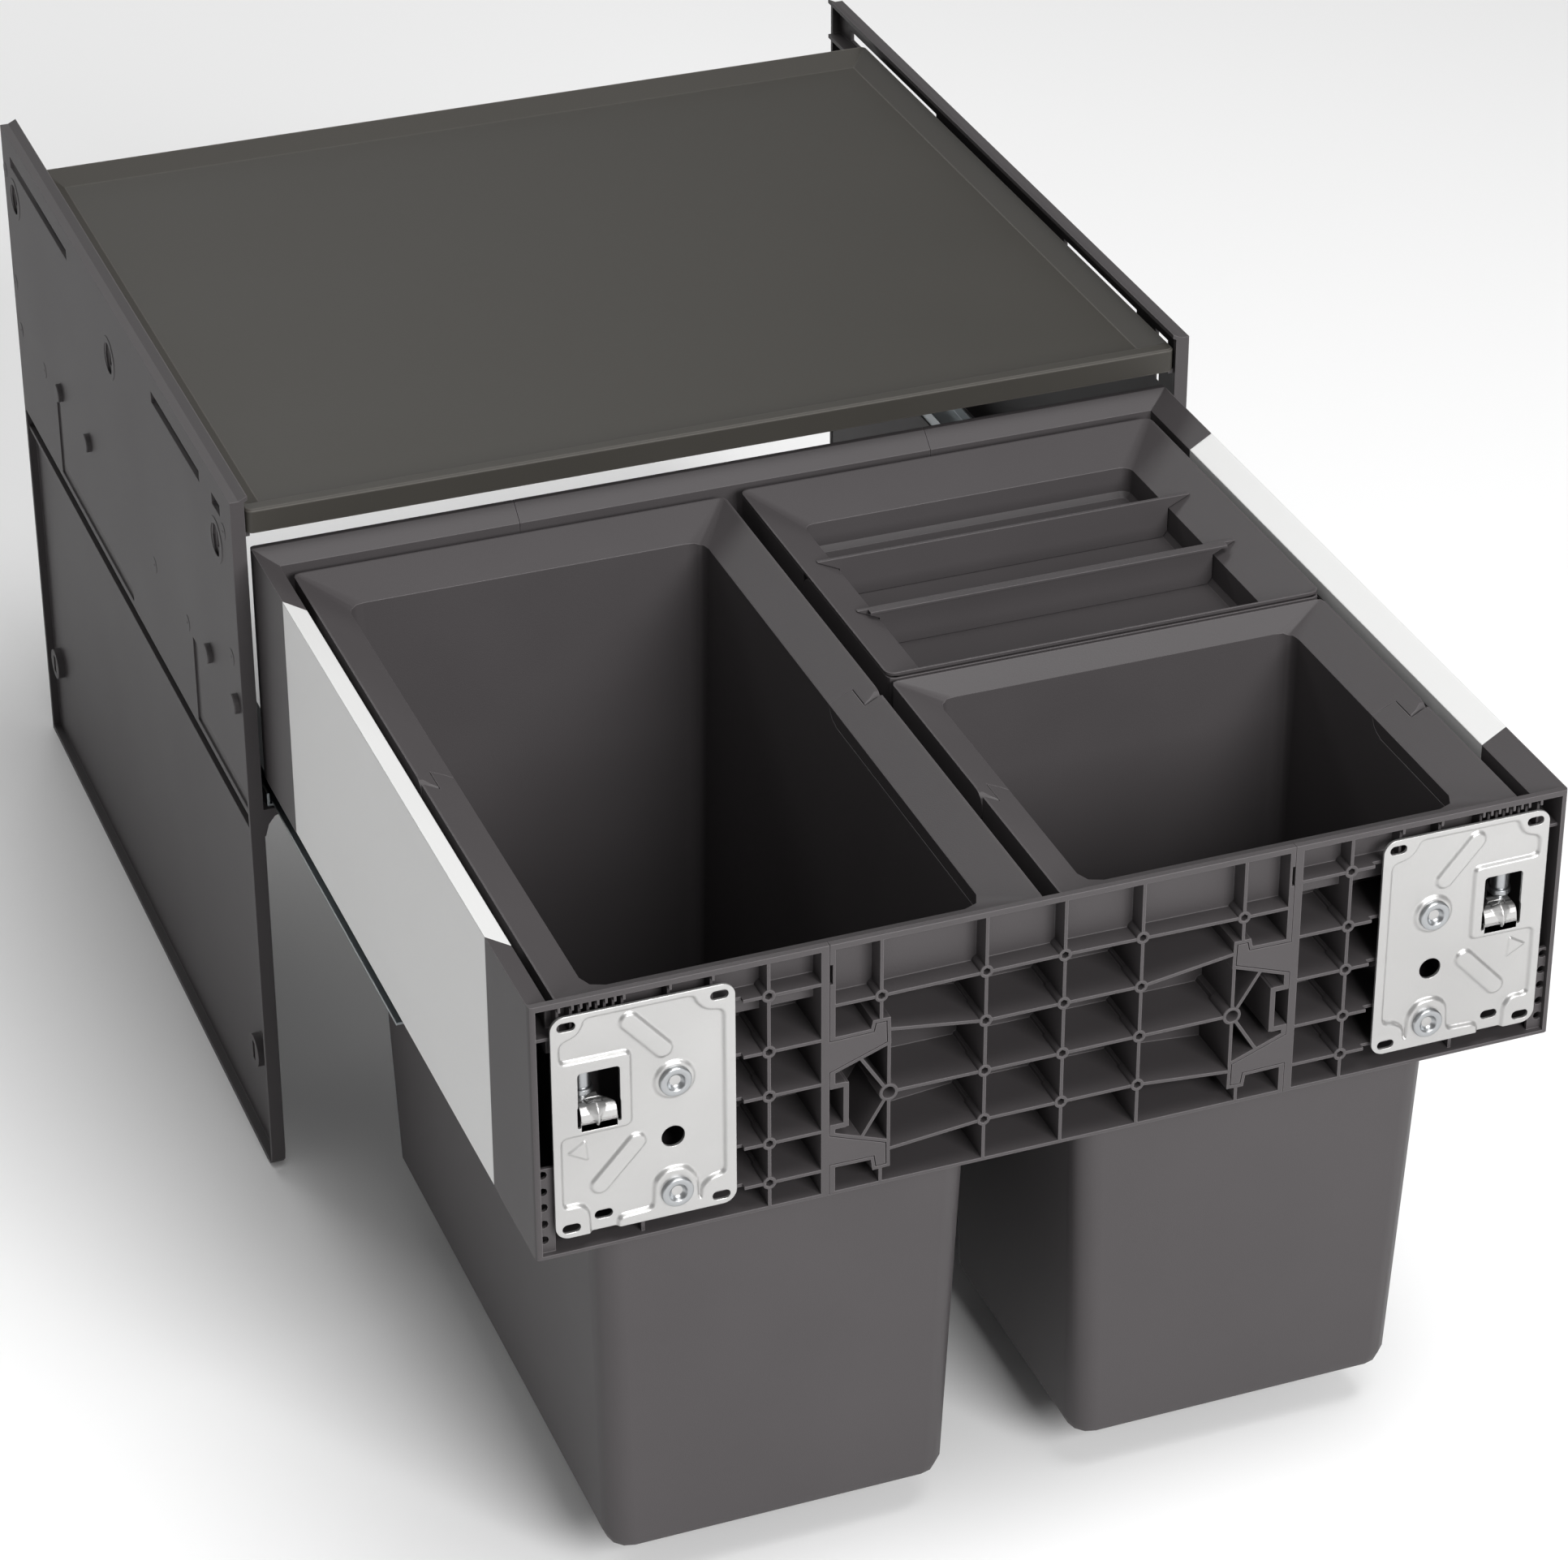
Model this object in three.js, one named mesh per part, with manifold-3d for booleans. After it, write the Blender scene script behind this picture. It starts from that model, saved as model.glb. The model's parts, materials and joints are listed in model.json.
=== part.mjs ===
// A pull-out waste cabinet insert for a 600 mm kitchen unit, in millimetres, +Z up.
// Two moulded side panels screw to the unit and carry a steel cover tray and a pair of full-extension
// slides. A drawer frame of moulded end sections and sheet side profiles runs on the slides. Three bins
// with fold-down carrying handles hang in it, and an organiser tray with two dividers lies in one bin.
// The drawer is shown pulled fully out, towards -Y.
import * as THREE from "three";
import { mergeVertices } from "three/addons/utils/BufferGeometryUtils.js";
import Module from "manifold-3d";

const wasm = await Module();
wasm.setup();

// ---------------------------------------------------------------- driving sizes
const CLEARANCE = 0.3; // running or resting gap between two pieces

// kitchen unit and side panels
const CLEAR_WIDTH = 562; // between the side walls of the kitchen unit
const PANEL_DEPTH = 538;
const PANEL_HEIGHT = 434;
const PANEL_WALL = 2.5;
const PANEL_RIM = 8; // the panel's edges turn inward this far
const PANEL_EDGE = 3; // thickness of those edges
const PANEL_LIP = 10; // reach of the top lip over the cover
const PANEL_LIP_RISE = 2.5;
const PANEL_FOOT_RADIUS = 12; // lower front corner
const WEB_RECESS = 5; // the lower half of the web stands back from the unit wall
const GROOVE_TOP = 238; // dark channel between the upper and the lower half
const GROOVE_HEIGHT = 11.5;
const WINDOW_HEIGHT = 8;
const POCKET_DEPTH = 1.2;

// cover tray
const COVER_FLOOR = 419.4; // height of the tray's floor
const COVER_RIM_WIDTH = 13;
const COVER_RIM_RISE = 8.2;
const COVER_SKIRT = 14; // the rim turns down this far
const COVER_SHEET = 1.4;
const COVER_FRONT_LAND = 6.9; // flat strip in front of the sloping rim
const COVER_SIDE_GAP = 0.7; // to the turned-in front edge of the side panels
const COVER_DEPTH = 476;

// drawer frame
const DRAWER_WIDTH = 539;
const DRAWER_LENGTH = 477.8;
const DRAWER_PULL = 469.3; // full extension, front face to front edge of the panels
const FRAME_TOP = 401.5;
const FRAME_HEIGHT = 143.4;
const BEVEL_WIDTH = 13; // the frame's top slopes inward all round
const BEVEL_DROP = 8;
const TOP_LAND = 3.5; // flat strip along the frame's outer top edge, front and back
const LEDGE_HEIGHT = 369; // the bins' rims rest here
const LEDGE_WIDTH = 22.5;
const FRAME_WALL = 1.8;
const CORNER_WALL = 3.2;
const RIB = 1.7;
const CORNER_LENGTH = 65.2; // how far an end section runs along the side
const PROFILE_SHEET = 1.5;

// slides
const SLIDE_WIDTH = 22;
const SLIDE_HEIGHT = 16.5;
const SLIDE_SHEET = 1.5;
const SLIDE_LENGTH = 476;
const SLIDE_SETBACK = 2; // behind the panels' front edge
const SLIDE_INSET = 11; // outer side of the slide, from the unit wall

// bins
const RIM_TOP = 391;
const RIM_DROP = 11; // the rim slopes down to the bin's mouth
const RIM_WIDTH = 22.1;
const RIM_WALL = 2.2;
const BIN_WALL = 2;
const BIN_FLOOR = 2.5;
const BIN_BOTTOM = 25; // height of the bins' underside
const BIN_TAPER = 11; // each side draws in by this much down to the floor
const BIN_LEAN = 13; // and each end by this much
const BIN_CORNER = 12;
const BIN_GAP = 9; // between the left and the right bins
const BIN_SIDE_GAP = 5; // between the rims and the frame's inner edge
const BIN_FRONT_GAP = 2.3; // between the rims and the frame's front wall
const BIN_REAR_GAP = 6.5;
const SMALL_BIN_GAP = 2; // between the front and the rear bin
const REAR_RIM_LARGE = 25;
const REAR_RIM_SMALL = 9;

// carrying handles
const PIVOT_DROP = 8.5; // pivot below the rim's top
const PIVOT_RADIUS = 1.8;
const PIVOT_FORWARD = 3.5; // in front of the bin's middle
const TONGUE = 9.6; // the handle's tongue reaches this far behind the pivot
const OUTER_BAND = 9.2; // width of the rim's outer strip, where the fixed part comes forward
const HANDLE_WALL = 2.2;
const HANDLE_SEAT = 2.7; // thickness of the flange that the handle lies on

// organiser tray and dividers
const TRAY_TOP = 393.6;
const TRAY_DROP = 12; // its rim slopes down to the tray's mouth
const TRAY_RIM_SIDE = 25.9;
const TRAY_RIM_REAR = 30;
const TRAY_RIM_FRONT = 10.3;
const TRAY_WALL = 1.6;
const TRAY_FLOOR = 364;
const TRAY_OVERHANG = 0.5; // over the bin's rim at each side
const DIVIDER_SHEET = 2;
const DIVIDER_TIP = 12.2; // each tip rests this far out on the tray's rim
const DIVIDER_TOP = 388.4;
const DIVIDER_LIP = 4;
const DIVIDER_PLACES = [83, 141]; // behind the tray's rear edge

// front fixing plates
const PLATE_WIDTH = 91;
const PLATE_HEIGHT = 125;
const PLATE_TOP = 393.2;
const PLATE_INSET = 9.8; // from the drawer's side to the plate's outer edge
const PLATE_SHEET = 1.6;
const PLATE_EMBOSS = 1.4;
const PLATE_SEAT = 3.2; // the ribs stand back this far behind a plate
const PLATE_CORNER = 7;
const PLATE_TRAVEL = 1.5; // height adjustment, up and down
const SCREW_HEAD = 16;
const SCREW_SHANK = 3; // radius
const SCREW_PROUD = 2.2; // head in front of the plate
const ADJUSTER_RADIUS = 4;

// ---------------------------------------------------------------- what follows from them
const halfWidth = CLEAR_WIDTH / 2;
const halfDrawer = DRAWER_WIDTH / 2;
const frontFace = -DRAWER_PULL;
const backFace = frontFace + DRAWER_LENGTH;
const middleY = (frontFace + backFace) / 2;
const frameBottom = FRAME_TOP - FRAME_HEIGHT;
const ledgeEdge = BEVEL_WIDTH + LEDGE_WIDTH; // inner edge of the ledge, from the frame's outer face
const rimBottom = LEDGE_HEIGHT + CLEARANCE;
const slideTop = frameBottom - CLEARANCE;
const slideBottom = slideTop - SLIDE_HEIGHT;
const slideX = halfWidth - SLIDE_INSET - SLIDE_WIDTH / 2;
const handleFloor = rimBottom + HANDLE_SEAT;
const mouthHeight = RIM_TOP - RIM_DROP;
const plateBack = frontFace + PLATE_SEAT - CLEARANCE;
const plateFront = plateBack - PLATE_SHEET;
const screwX = 198.9; // the two screws that hold a plate
const screwHeights = [344.8, 281.7];
const adjusterX = 241.5;
const adjusterY = plateBack + 9;

// ---------------------------------------------------------------- solids
function solidOf(geometry) {
  const bare = geometry.clone();
  bare.deleteAttribute("normal");
  bare.deleteAttribute("uv");
  const merged = mergeVertices(bare, 1e-4);
  return new wasm.Manifold(
    new wasm.Mesh({
      numProp: 3,
      vertProperties: Float32Array.from(merged.attributes.position.array),
      triVerts: Uint32Array.from(merged.index.array),
    }),
  );
}

function join(...solids) {
  return solids.reduce((whole, piece) => whole.add(piece));
}

function cut(solid, ...tools) {
  return tools.reduce((whole, tool) => whole.subtract(tool), solid);
}

function geometryOf(solid) {
  const mesh = solid.asOriginal().simplify(0.01).getMesh();
  const geometry = new THREE.BufferGeometry();
  geometry.setAttribute("position", new THREE.BufferAttribute(mesh.vertProperties, mesh.numProp));
  geometry.setIndex(new THREE.BufferAttribute(mesh.triVerts, 1));
  const flat = geometry.toNonIndexed();
  flat.computeVertexNormals();
  return flat;
}

function box(x0, x1, y0, y1, z0, z1) {
  const geometry = new THREE.BoxGeometry(x1 - x0, y1 - y0, z1 - z0);
  geometry.translate((x0 + x1) / 2, (y0 + y1) / 2, (z0 + z1) / 2);
  return solidOf(geometry);
}

// An outline pushed along one axis. Its two coordinates are the other axes, in the order x, y, z.
function prism(axis, outline, from, to) {
  const shape = outline instanceof THREE.Shape
    ? outline
    : new THREE.Shape(outline.map(([u, v]) => new THREE.Vector2(u, v)));
  const geometry = new THREE.ExtrudeGeometry(shape, {
    depth: to - from,
    bevelEnabled: false,
    curveSegments: 3,
  });
  const turn = {
    x: new THREE.Matrix4().set(0, 0, 1, from, 1, 0, 0, 0, 0, 1, 0, 0, 0, 0, 0, 1),
    y: new THREE.Matrix4().set(1, 0, 0, 0, 0, 0, -1, to, 0, 1, 0, 0, 0, 0, 0, 1),
    z: new THREE.Matrix4().makeTranslation(0, 0, from),
  };
  return solidOf(geometry.applyMatrix4(turn[axis]));
}

// A round bar along one axis through the point (x, y, z), which is the middle of its length.
function bar(axis, radius, length, x, y, z, sides = 12) {
  const geometry = new THREE.CylinderGeometry(radius, radius, length, sides);
  if (axis === "x") geometry.rotateZ(Math.PI / 2);
  if (axis === "z") geometry.rotateX(Math.PI / 2);
  geometry.translate(x, y, z);
  return solidOf(geometry);
}

// A rectangle with round corners as a ring of points at height z, counterclockwise from above.
function ring({ x0, x1, y0, y1 }, radius, z, inset = 0, steps = 4) {
  const points = [];
  const r = Math.max(radius - inset, 0.4);
  const centres = [
    [x1 - inset - r, y1 - inset - r],
    [x0 + inset + r, y1 - inset - r],
    [x0 + inset + r, y0 + inset + r],
    [x1 - inset - r, y0 + inset + r],
  ];
  centres.forEach(([cx, cy], corner) => {
    for (let i = 0; i <= steps; i++) {
      const a = (corner + i / steps) * (Math.PI / 2);
      points.push(new THREE.Vector3(cx + r * Math.cos(a), cy + r * Math.sin(a), z));
    }
  });
  return points;
}

// A solid skinned over rings. It is closed by a flat cap at each end, or onto its first ring.
function skin(rings, closed = false) {
  const n = rings[0].length;
  const triangles = [];
  const face = (a, b, c) => triangles.push(a, b, c);
  const count = closed ? rings.length : rings.length - 1;
  for (let k = 0; k < count; k++) {
    const low = rings[k];
    const high = rings[(k + 1) % rings.length];
    for (let i = 0; i < n; i++) {
      const j = (i + 1) % n;
      face(low[i], low[j], high[j]);
      face(low[i], high[j], high[i]);
    }
  }
  if (!closed) {
    const first = rings[0];
    const last = rings[rings.length - 1];
    for (let i = 1; i < n - 1; i++) {
      face(first[0], first[i + 1], first[i]);
      face(last[0], last[i], last[i + 1]);
    }
  }
  return solidOf(new THREE.BufferGeometry().setFromPoints(triangles));
}

// ---------------------------------------------------------------- scene and colours
const group = new THREE.Group();
const finish = (color, roughness, metalness) => ({ color, roughness, metalness });
const ANTHRACITE = finish(0x4d4a4b, 0.6, 0);
const DARK_SHEET = finish(0x525149, 0.5, 0.3);
const PALE_SHEET = finish(0xd4d4d4, 0.45, 0.3);
const ZINC = finish(0xdcdcdc, 0.35, 0.9);
const STEEL = finish(0x9a9fa3, 0.4, 0.8);

function place(name, geometry, look) {
  const mesh = new THREE.Mesh(geometry, new THREE.MeshStandardMaterial(look));
  mesh.name = name;
  group.add(mesh);
  return mesh;
}

// A right-hand piece and its mirror image on the left.
function placePair(name, solid, look) {
  const geometry = geometryOf(solid);
  place(name + "_right", geometry, look);
  place(name + "_left", geometry, look).scale.x = -1;
}

// ---------------------------------------------------------------- side panels
const coverRimTop = COVER_FLOOR + COVER_RIM_RISE;
const coverSkirtBottom = coverRimTop - COVER_SKIRT;

function sidePanel() {
  const out = halfWidth;
  const web = out - PANEL_WALL;
  const recessed = out - WEB_RECESS;
  const inner = recessed - PANEL_WALL;
  const rim = out - PANEL_RIM;
  const grooveBottom = GROOVE_TOP - GROOVE_HEIGHT;
  const seat = slideBottom - CLEARANCE; // top of the rail carrier

  const webs = join(
    box(web, out, 0, PANEL_DEPTH, GROOVE_TOP, PANEL_HEIGHT),
    box(inner, recessed, 0, PANEL_DEPTH, 0, GROOVE_TOP + PANEL_WALL),
    box(inner, out, 0, PANEL_DEPTH, GROOVE_TOP, GROOVE_TOP + PANEL_WALL),
    box(inner, out - POCKET_DEPTH, 0, PANEL_DEPTH, grooveBottom - PANEL_WALL, grooveBottom),
  );
  const edges = join(
    box(rim, out, 0, PANEL_EDGE, 0, PANEL_HEIGHT),
    box(rim, out, PANEL_DEPTH - PANEL_EDGE, PANEL_DEPTH, 0, PANEL_HEIGHT),
    box(rim, out, 0, PANEL_DEPTH, 0, PANEL_EDGE),
  );
  const lip = prism(
    "y",
    [
      [out - PANEL_LIP, PANEL_HEIGHT + PANEL_LIP_RISE - PANEL_WALL],
      [out - PANEL_LIP / 2, PANEL_HEIGHT - PANEL_WALL],
      [out, PANEL_HEIGHT - PANEL_WALL],
      [out, PANEL_HEIGHT],
      [out - PANEL_LIP / 2, PANEL_HEIGHT],
      [out - PANEL_LIP, PANEL_HEIGHT + PANEL_LIP_RISE],
    ],
    0,
    PANEL_DEPTH,
  );
  const coverLedge = box(
    out - PANEL_LIP - 1,
    out,
    PANEL_EDGE,
    PANEL_DEPTH - PANEL_EDGE,
    coverSkirtBottom - CLEARANCE - PANEL_WALL,
    coverSkirtBottom - CLEARANCE,
  );
  // the rail carrier: a shelf on a curved root
  const carrierEdge = slideX - SLIDE_WIDTH / 2 - 1;
  const root = new THREE.Shape();
  root.moveTo(inner + 1, grooveBottom - PANEL_WALL);
  root.lineTo(inner + 1, seat);
  root.lineTo(carrierEdge, seat);
  root.lineTo(carrierEdge, seat - PANEL_EDGE);
  root.lineTo(inner - 12, seat - PANEL_EDGE);
  root.quadraticCurveTo(inner - 3, seat - PANEL_EDGE - 1, inner - 1, grooveBottom - PANEL_WALL);
  const carrier = prism("y", root, 0, PANEL_DEPTH - 40);

  // screw bosses on the recessed half, with a slot through each
  const boss = (y, z) => bar("x", 10, out - inner, (out + inner) / 2, y, z, 16);
  const slot = (y, z, tall) => box(inner - 1, out + 1, y - 2.5, y + 2.5, z - tall, z + tall);
  // screw places on the upper half: a shallow lens-shaped recess round a slot
  const lens = (y, z) =>
    prism(
      "x",
      new THREE.Shape().absellipse(y, z, 7, 13, 0, 2 * Math.PI),
      out - POCKET_DEPTH,
      out + 1,
    );
  const pip = (y, z) => bar("x", 2.2, 2 * POCKET_DEPTH, out, y, z, 6);
  const pocket = (y0, y1, z0, z1) => box(out - POCKET_DEPTH, out + 1, y0, y1, z0, z1);
  const windowTop = coverSkirtBottom + WINDOW_HEIGHT;
  const opening = (y0, y1, z0) => box(web - 1, out + 1, y0, y1, z0, windowTop);

  const upperScrews = [35.4, 273.3, 511.9].map((y) => [y, 394.5]);
  const lowerScrews = [
    [27.6, 65.6],
    [513.2, 61.5],
  ];
  const pips = [19, 81.6, 191.5, 349.6, 461.7, 525.6].map((y) => [y, 298.5]);
  const whole = join(webs, edges, lip, coverLedge, carrier, ...lowerScrews.map((p) => boss(...p)));
  const opened = cut(
    whole,
    ...upperScrews.map((p) => lens(...p)),
    ...upperScrews.map((p) => slot(...p, 5)),
    ...lowerScrews.map((p) => slot(...p, 6)),
    ...pips.map((p) => pip(...p)),
    opening(370, 516.5, coverSkirtBottom + 1),
    opening(65.5, 170, coverSkirtBottom + 1),
    opening(22.5, 39.5, coverSkirtBottom + 1),
    pocket(424, 434, GROOVE_TOP + 4, 296),
    pocket(255, 424, GROOVE_TOP + 4, GROOVE_TOP + 14),
    pocket(96, 108, GROOVE_TOP + 4, 296),
    pocket(PANEL_EDGE, 96, GROOVE_TOP + 4, GROOVE_TOP + 14),
  );
  // the silhouette rounds the lower front corner
  const outline = new THREE.Shape();
  outline.moveTo(0, PANEL_HEIGHT + PANEL_LIP_RISE);
  outline.lineTo(0, PANEL_FOOT_RADIUS);
  outline.quadraticCurveTo(0, 0, PANEL_FOOT_RADIUS, 0);
  outline.lineTo(PANEL_DEPTH, 0);
  outline.lineTo(PANEL_DEPTH, PANEL_HEIGHT + PANEL_LIP_RISE);
  return opened.intersect(prism("x", outline, 0, out));
}
placePair("side_panel", sidePanel(), ANTHRACITE);

// ---------------------------------------------------------------- cover tray
function coverTray() {
  const half = halfWidth - PANEL_RIM - COVER_SIDE_GAP;
  const outer = { x0: -half, x1: half, y0: 0, y1: COVER_DEPTH };
  const slopeTop = { ...outer, y0: COVER_FRONT_LAND };
  const round = 4;
  const basin = (drop) =>
    skin([
      ring(slopeTop, round, COVER_FLOOR - drop, COVER_RIM_WIDTH),
      ring(slopeTop, round, coverRimTop - drop, 1),
      ring(slopeTop, round, coverRimTop + 1, 1),
    ]);
  const block = skin([
    ring(outer, round, coverSkirtBottom),
    ring(outer, round, coverRimTop - 1),
    ring(outer, round, coverRimTop, 1),
  ]);
  const underside = skin([
    ring(outer, round, coverSkirtBottom - 1, COVER_SHEET),
    ring(outer, round, coverRimTop - COVER_SHEET, COVER_SHEET),
  ]);
  return cut(block, basin(0), cut(underside, basin(COVER_SHEET)));
}
place("cover_tray", geometryOf(coverTray()), DARK_SHEET);

// ---------------------------------------------------------------- drawer frame
const frameBox = { x0: -halfDrawer, x1: halfDrawer, y0: frontFace, y1: backFace };

// The space inside the frame, grown into its walls by some amount.
function frameMouth(grow) {
  const land = { ...frameBox, y0: frontFace + TOP_LAND, y1: backFace - TOP_LAND };
  const bevelFoot = FRAME_TOP - BEVEL_DROP - grow;
  return join(
    skin([
      ring(frameBox, 1, frameBottom - 1, ledgeEdge - grow, 1),
      ring(frameBox, 1, LEDGE_HEIGHT + 1 - grow, ledgeEdge - grow, 1),
    ]),
    skin([
      ring(frameBox, 1, LEDGE_HEIGHT - grow, BEVEL_WIDTH - grow, 1),
      ring(frameBox, 1, bevelFoot, BEVEL_WIDTH - grow, 1),
      ring(land, 1, FRAME_TOP - grow, 0, 1),
      ring(land, 1, FRAME_TOP + 1, 0, 1),
    ]),
  );
}

const frameBlock = cut(
  skin([ring(frameBox, 2, frameBottom, 0, 2), ring(frameBox, 2, FRAME_TOP, 0, 2)]),
  frameMouth(0),
);
const frameLining = frameMouth(FRAME_WALL);

// A rib on the front, from one point to another on the face (x, z), running back to the rear wall.
function rib(x0, z0, x1, z1, thick = RIB) {
  const length = Math.hypot(x1 - x0, z1 - z0);
  const u = ((z0 - z1) / length) * (thick / 2);
  const v = ((x1 - x0) / length) * (thick / 2);
  const outline = [
    [x0 + u, z0 + v],
    [x0 - u, z0 - v],
    [x1 - u, z1 - v],
    [x1 + u, z1 + v],
  ];
  return prism("y", outline, frontFace, frontFace + ledgeEdge);
}

// An outline grown outward by a distance. Its corners run clockwise.
function grown(outline, distance) {
  const n = outline.length;
  return outline.map(([x, z], i) => {
    const [ax, az] = outline[(i + n - 1) % n];
    const [bx, bz] = outline[(i + 1) % n];
    const before = new THREE.Vector2(-(z - az), x - ax).normalize();
    const after = new THREE.Vector2(-(bz - z), bx - x).normalize();
    const k = distance / (1 + before.dot(after));
    return [x + k * (before.x + after.x), z + k * (before.y + after.y)];
  });
}

const SEAM = 121; // from the middle to the joint between the sections
const END_BAR = 4.3;
const CENTRE_BAR = 2.7;
const BOSS_RADIUS = 3.2;
const LARGE_BOSS_RADIUS = 4.6;
const BOSS_WALL = 1.2;
const boss = (x, z, radius = BOSS_RADIUS) =>
  bar("y", radius, ledgeEdge, x, frontFace + ledgeEdge / 2, z, 8);
const bore = (x, z, radius = BOSS_RADIUS - BOSS_WALL, depth = 20) =>
  bar("y", radius, 2 * depth, x, frontFace, z, radius > BOSS_RADIUS ? 12 : 6);

// the end sections hook into the centre section with these two arms and a latch
const HOOK_ROOT = SEAM + 2;
const upperHook = [
  [HOOK_ROOT, 346.8],
  [98.2, 347.2],
  [97.2, 351.8],
  [92.1, 351.8],
  [91.8, 340.3],
  [HOOK_ROOT, 329],
].reverse();
const lowerHook = [
  [HOOK_ROOT, 293.3],
  [92.1, 281.6],
  [91.9, 269.7],
  [96.8, 269.5],
  [97.7, 275.7],
  [HOOK_ROOT, 276.1],
].reverse();
const HOOK_DEPTH = 12;
const HOOK_GAP = 0.5;

const frameTopWall = 3;
const cellFloor = frameBottom + FRAME_WALL;
const cellRoof = FRAME_TOP - frameTopWall;

// The part of the frame's front between two distances from the middle, on the right-hand side.
function frontShell(x0, x1) {
  const slice = box(x0, x1, frontFace - 1, frontFace + ledgeEdge, frameBottom - 1, FRAME_TOP + 1);
  const cells = box(
    x0,
    Math.min(x1, halfDrawer - CORNER_WALL),
    frontFace - 1,
    frontFace + ledgeEdge,
    cellFloor,
    cellRoof,
  );
  return cut(frameBlock.intersect(slice), cut(cells, frameLining));
}

function centreSection(detailed) {
  const edge = SEAM - CLEARANCE / 2;
  const hookWall = 90.6;
  const latchFar = 112.5;
  const latchTop = 321;
  const latchBottom = 297.5;
  const shellRight = frontShell(0, edge);
  const ribsRight = join(
    box(
      edge - CENTRE_BAR,
      edge,
      frontFace,
      frontFace + ledgeEdge,
      frameBottom,
      FRAME_TOP - frameTopWall / 2,
    ),
    prism("y", grown(upperHook, HOOK_GAP + RIB), frontFace, frontFace + ledgeEdge),
    prism("y", grown(lowerHook, HOOK_GAP + RIB), frontFace, frontFace + ledgeEdge),
    rib(hookWall, 340, hookWall, 281),
    rib(94.7, 353, 94.7, cellRoof + 1),
    rib(94.7, 269, 94.7, frameBottom + 1),
    rib(40.8, frameBottom + 1, 40.8, cellRoof + 1),
    // cross ribs between the uprights
    rib(-1, 368, 94.7, 367.1),
    rib(94.7, 367, edge, 367),
    rib(-1, 340, 40.8, 339.9),
    rib(40.8, 339.9, hookWall, 347),
    rib(-1, 310.9, hookWall, 310.9),
    rib(-1, 282.4, 40.8, 282.4),
    rib(40.8, 282.4, hookWall, 277.8),
    // gussets behind the hooks, and the latch
    rib(hookWall, 310.8, 105, 333.6),
    rib(hookWall, 310.8, 104.5, 288),
    rib(edge, latchTop, latchFar, latchTop, CENTRE_BAR),
    rib(latchFar, latchTop + 1, latchFar, latchBottom - 1, CENTRE_BAR),
    rib(latchFar, latchBottom, edge, latchBottom, CENTRE_BAR),
  );
  const bosses = detailed
    ? [
        [94.7, 367.1],
        [40.8, 368],
        [40.8, 339.9],
        [40.8, 310.9],
        [40.8, 282.4],
      ]
    : [];
  const right = join(
    ribsRight,
    ...bosses.map((p) => boss(...p)),
    boss(hookWall, 310.8, LARGE_BOSS_RADIUS),
  ).intersect(cut(frameBlock, box(edge, 2 * edge, -600, 100, 0, FRAME_TOP + 1)));
  const half = cut(
    join(shellRight, right),
    prism("y", grown(upperHook, HOOK_GAP), frontFace - 1, frontFace + ledgeEdge - FRAME_WALL),
    prism("y", grown(lowerHook, HOOK_GAP), frontFace - 1, frontFace + ledgeEdge - FRAME_WALL),
    box(
      latchFar + CENTRE_BAR / 2,
      SEAM + 1,
      frontFace - 1,
      frontFace + ledgeEdge - FRAME_WALL,
      latchBottom + CENTRE_BAR / 2,
      latchTop - CENTRE_BAR / 2,
    ),
    box(edge - 1.4, SEAM + 1, frontFace - 1, frontFace + HOOK_DEPTH, 379.3, 390.4),
    ...bosses.map((p) => bore(...p)),
    bore(hookWall, 310.8, LARGE_BOSS_RADIUS - BOSS_WALL),
  );
  const middleBosses = detailed ? [367.7, 340.1, 311, 282.5] : [];
  const middle = join(
    rib(0, frameBottom + 1, 0, cellRoof + 1),
    ...middleBosses.map((z) => boss(0, z)),
  ).intersect(frameBlock);
  return cut(
    join(half, half.mirror([1, 0, 0]), middle),
    ...middleBosses.map((z) => bore(0, z)),
  );
}

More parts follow.
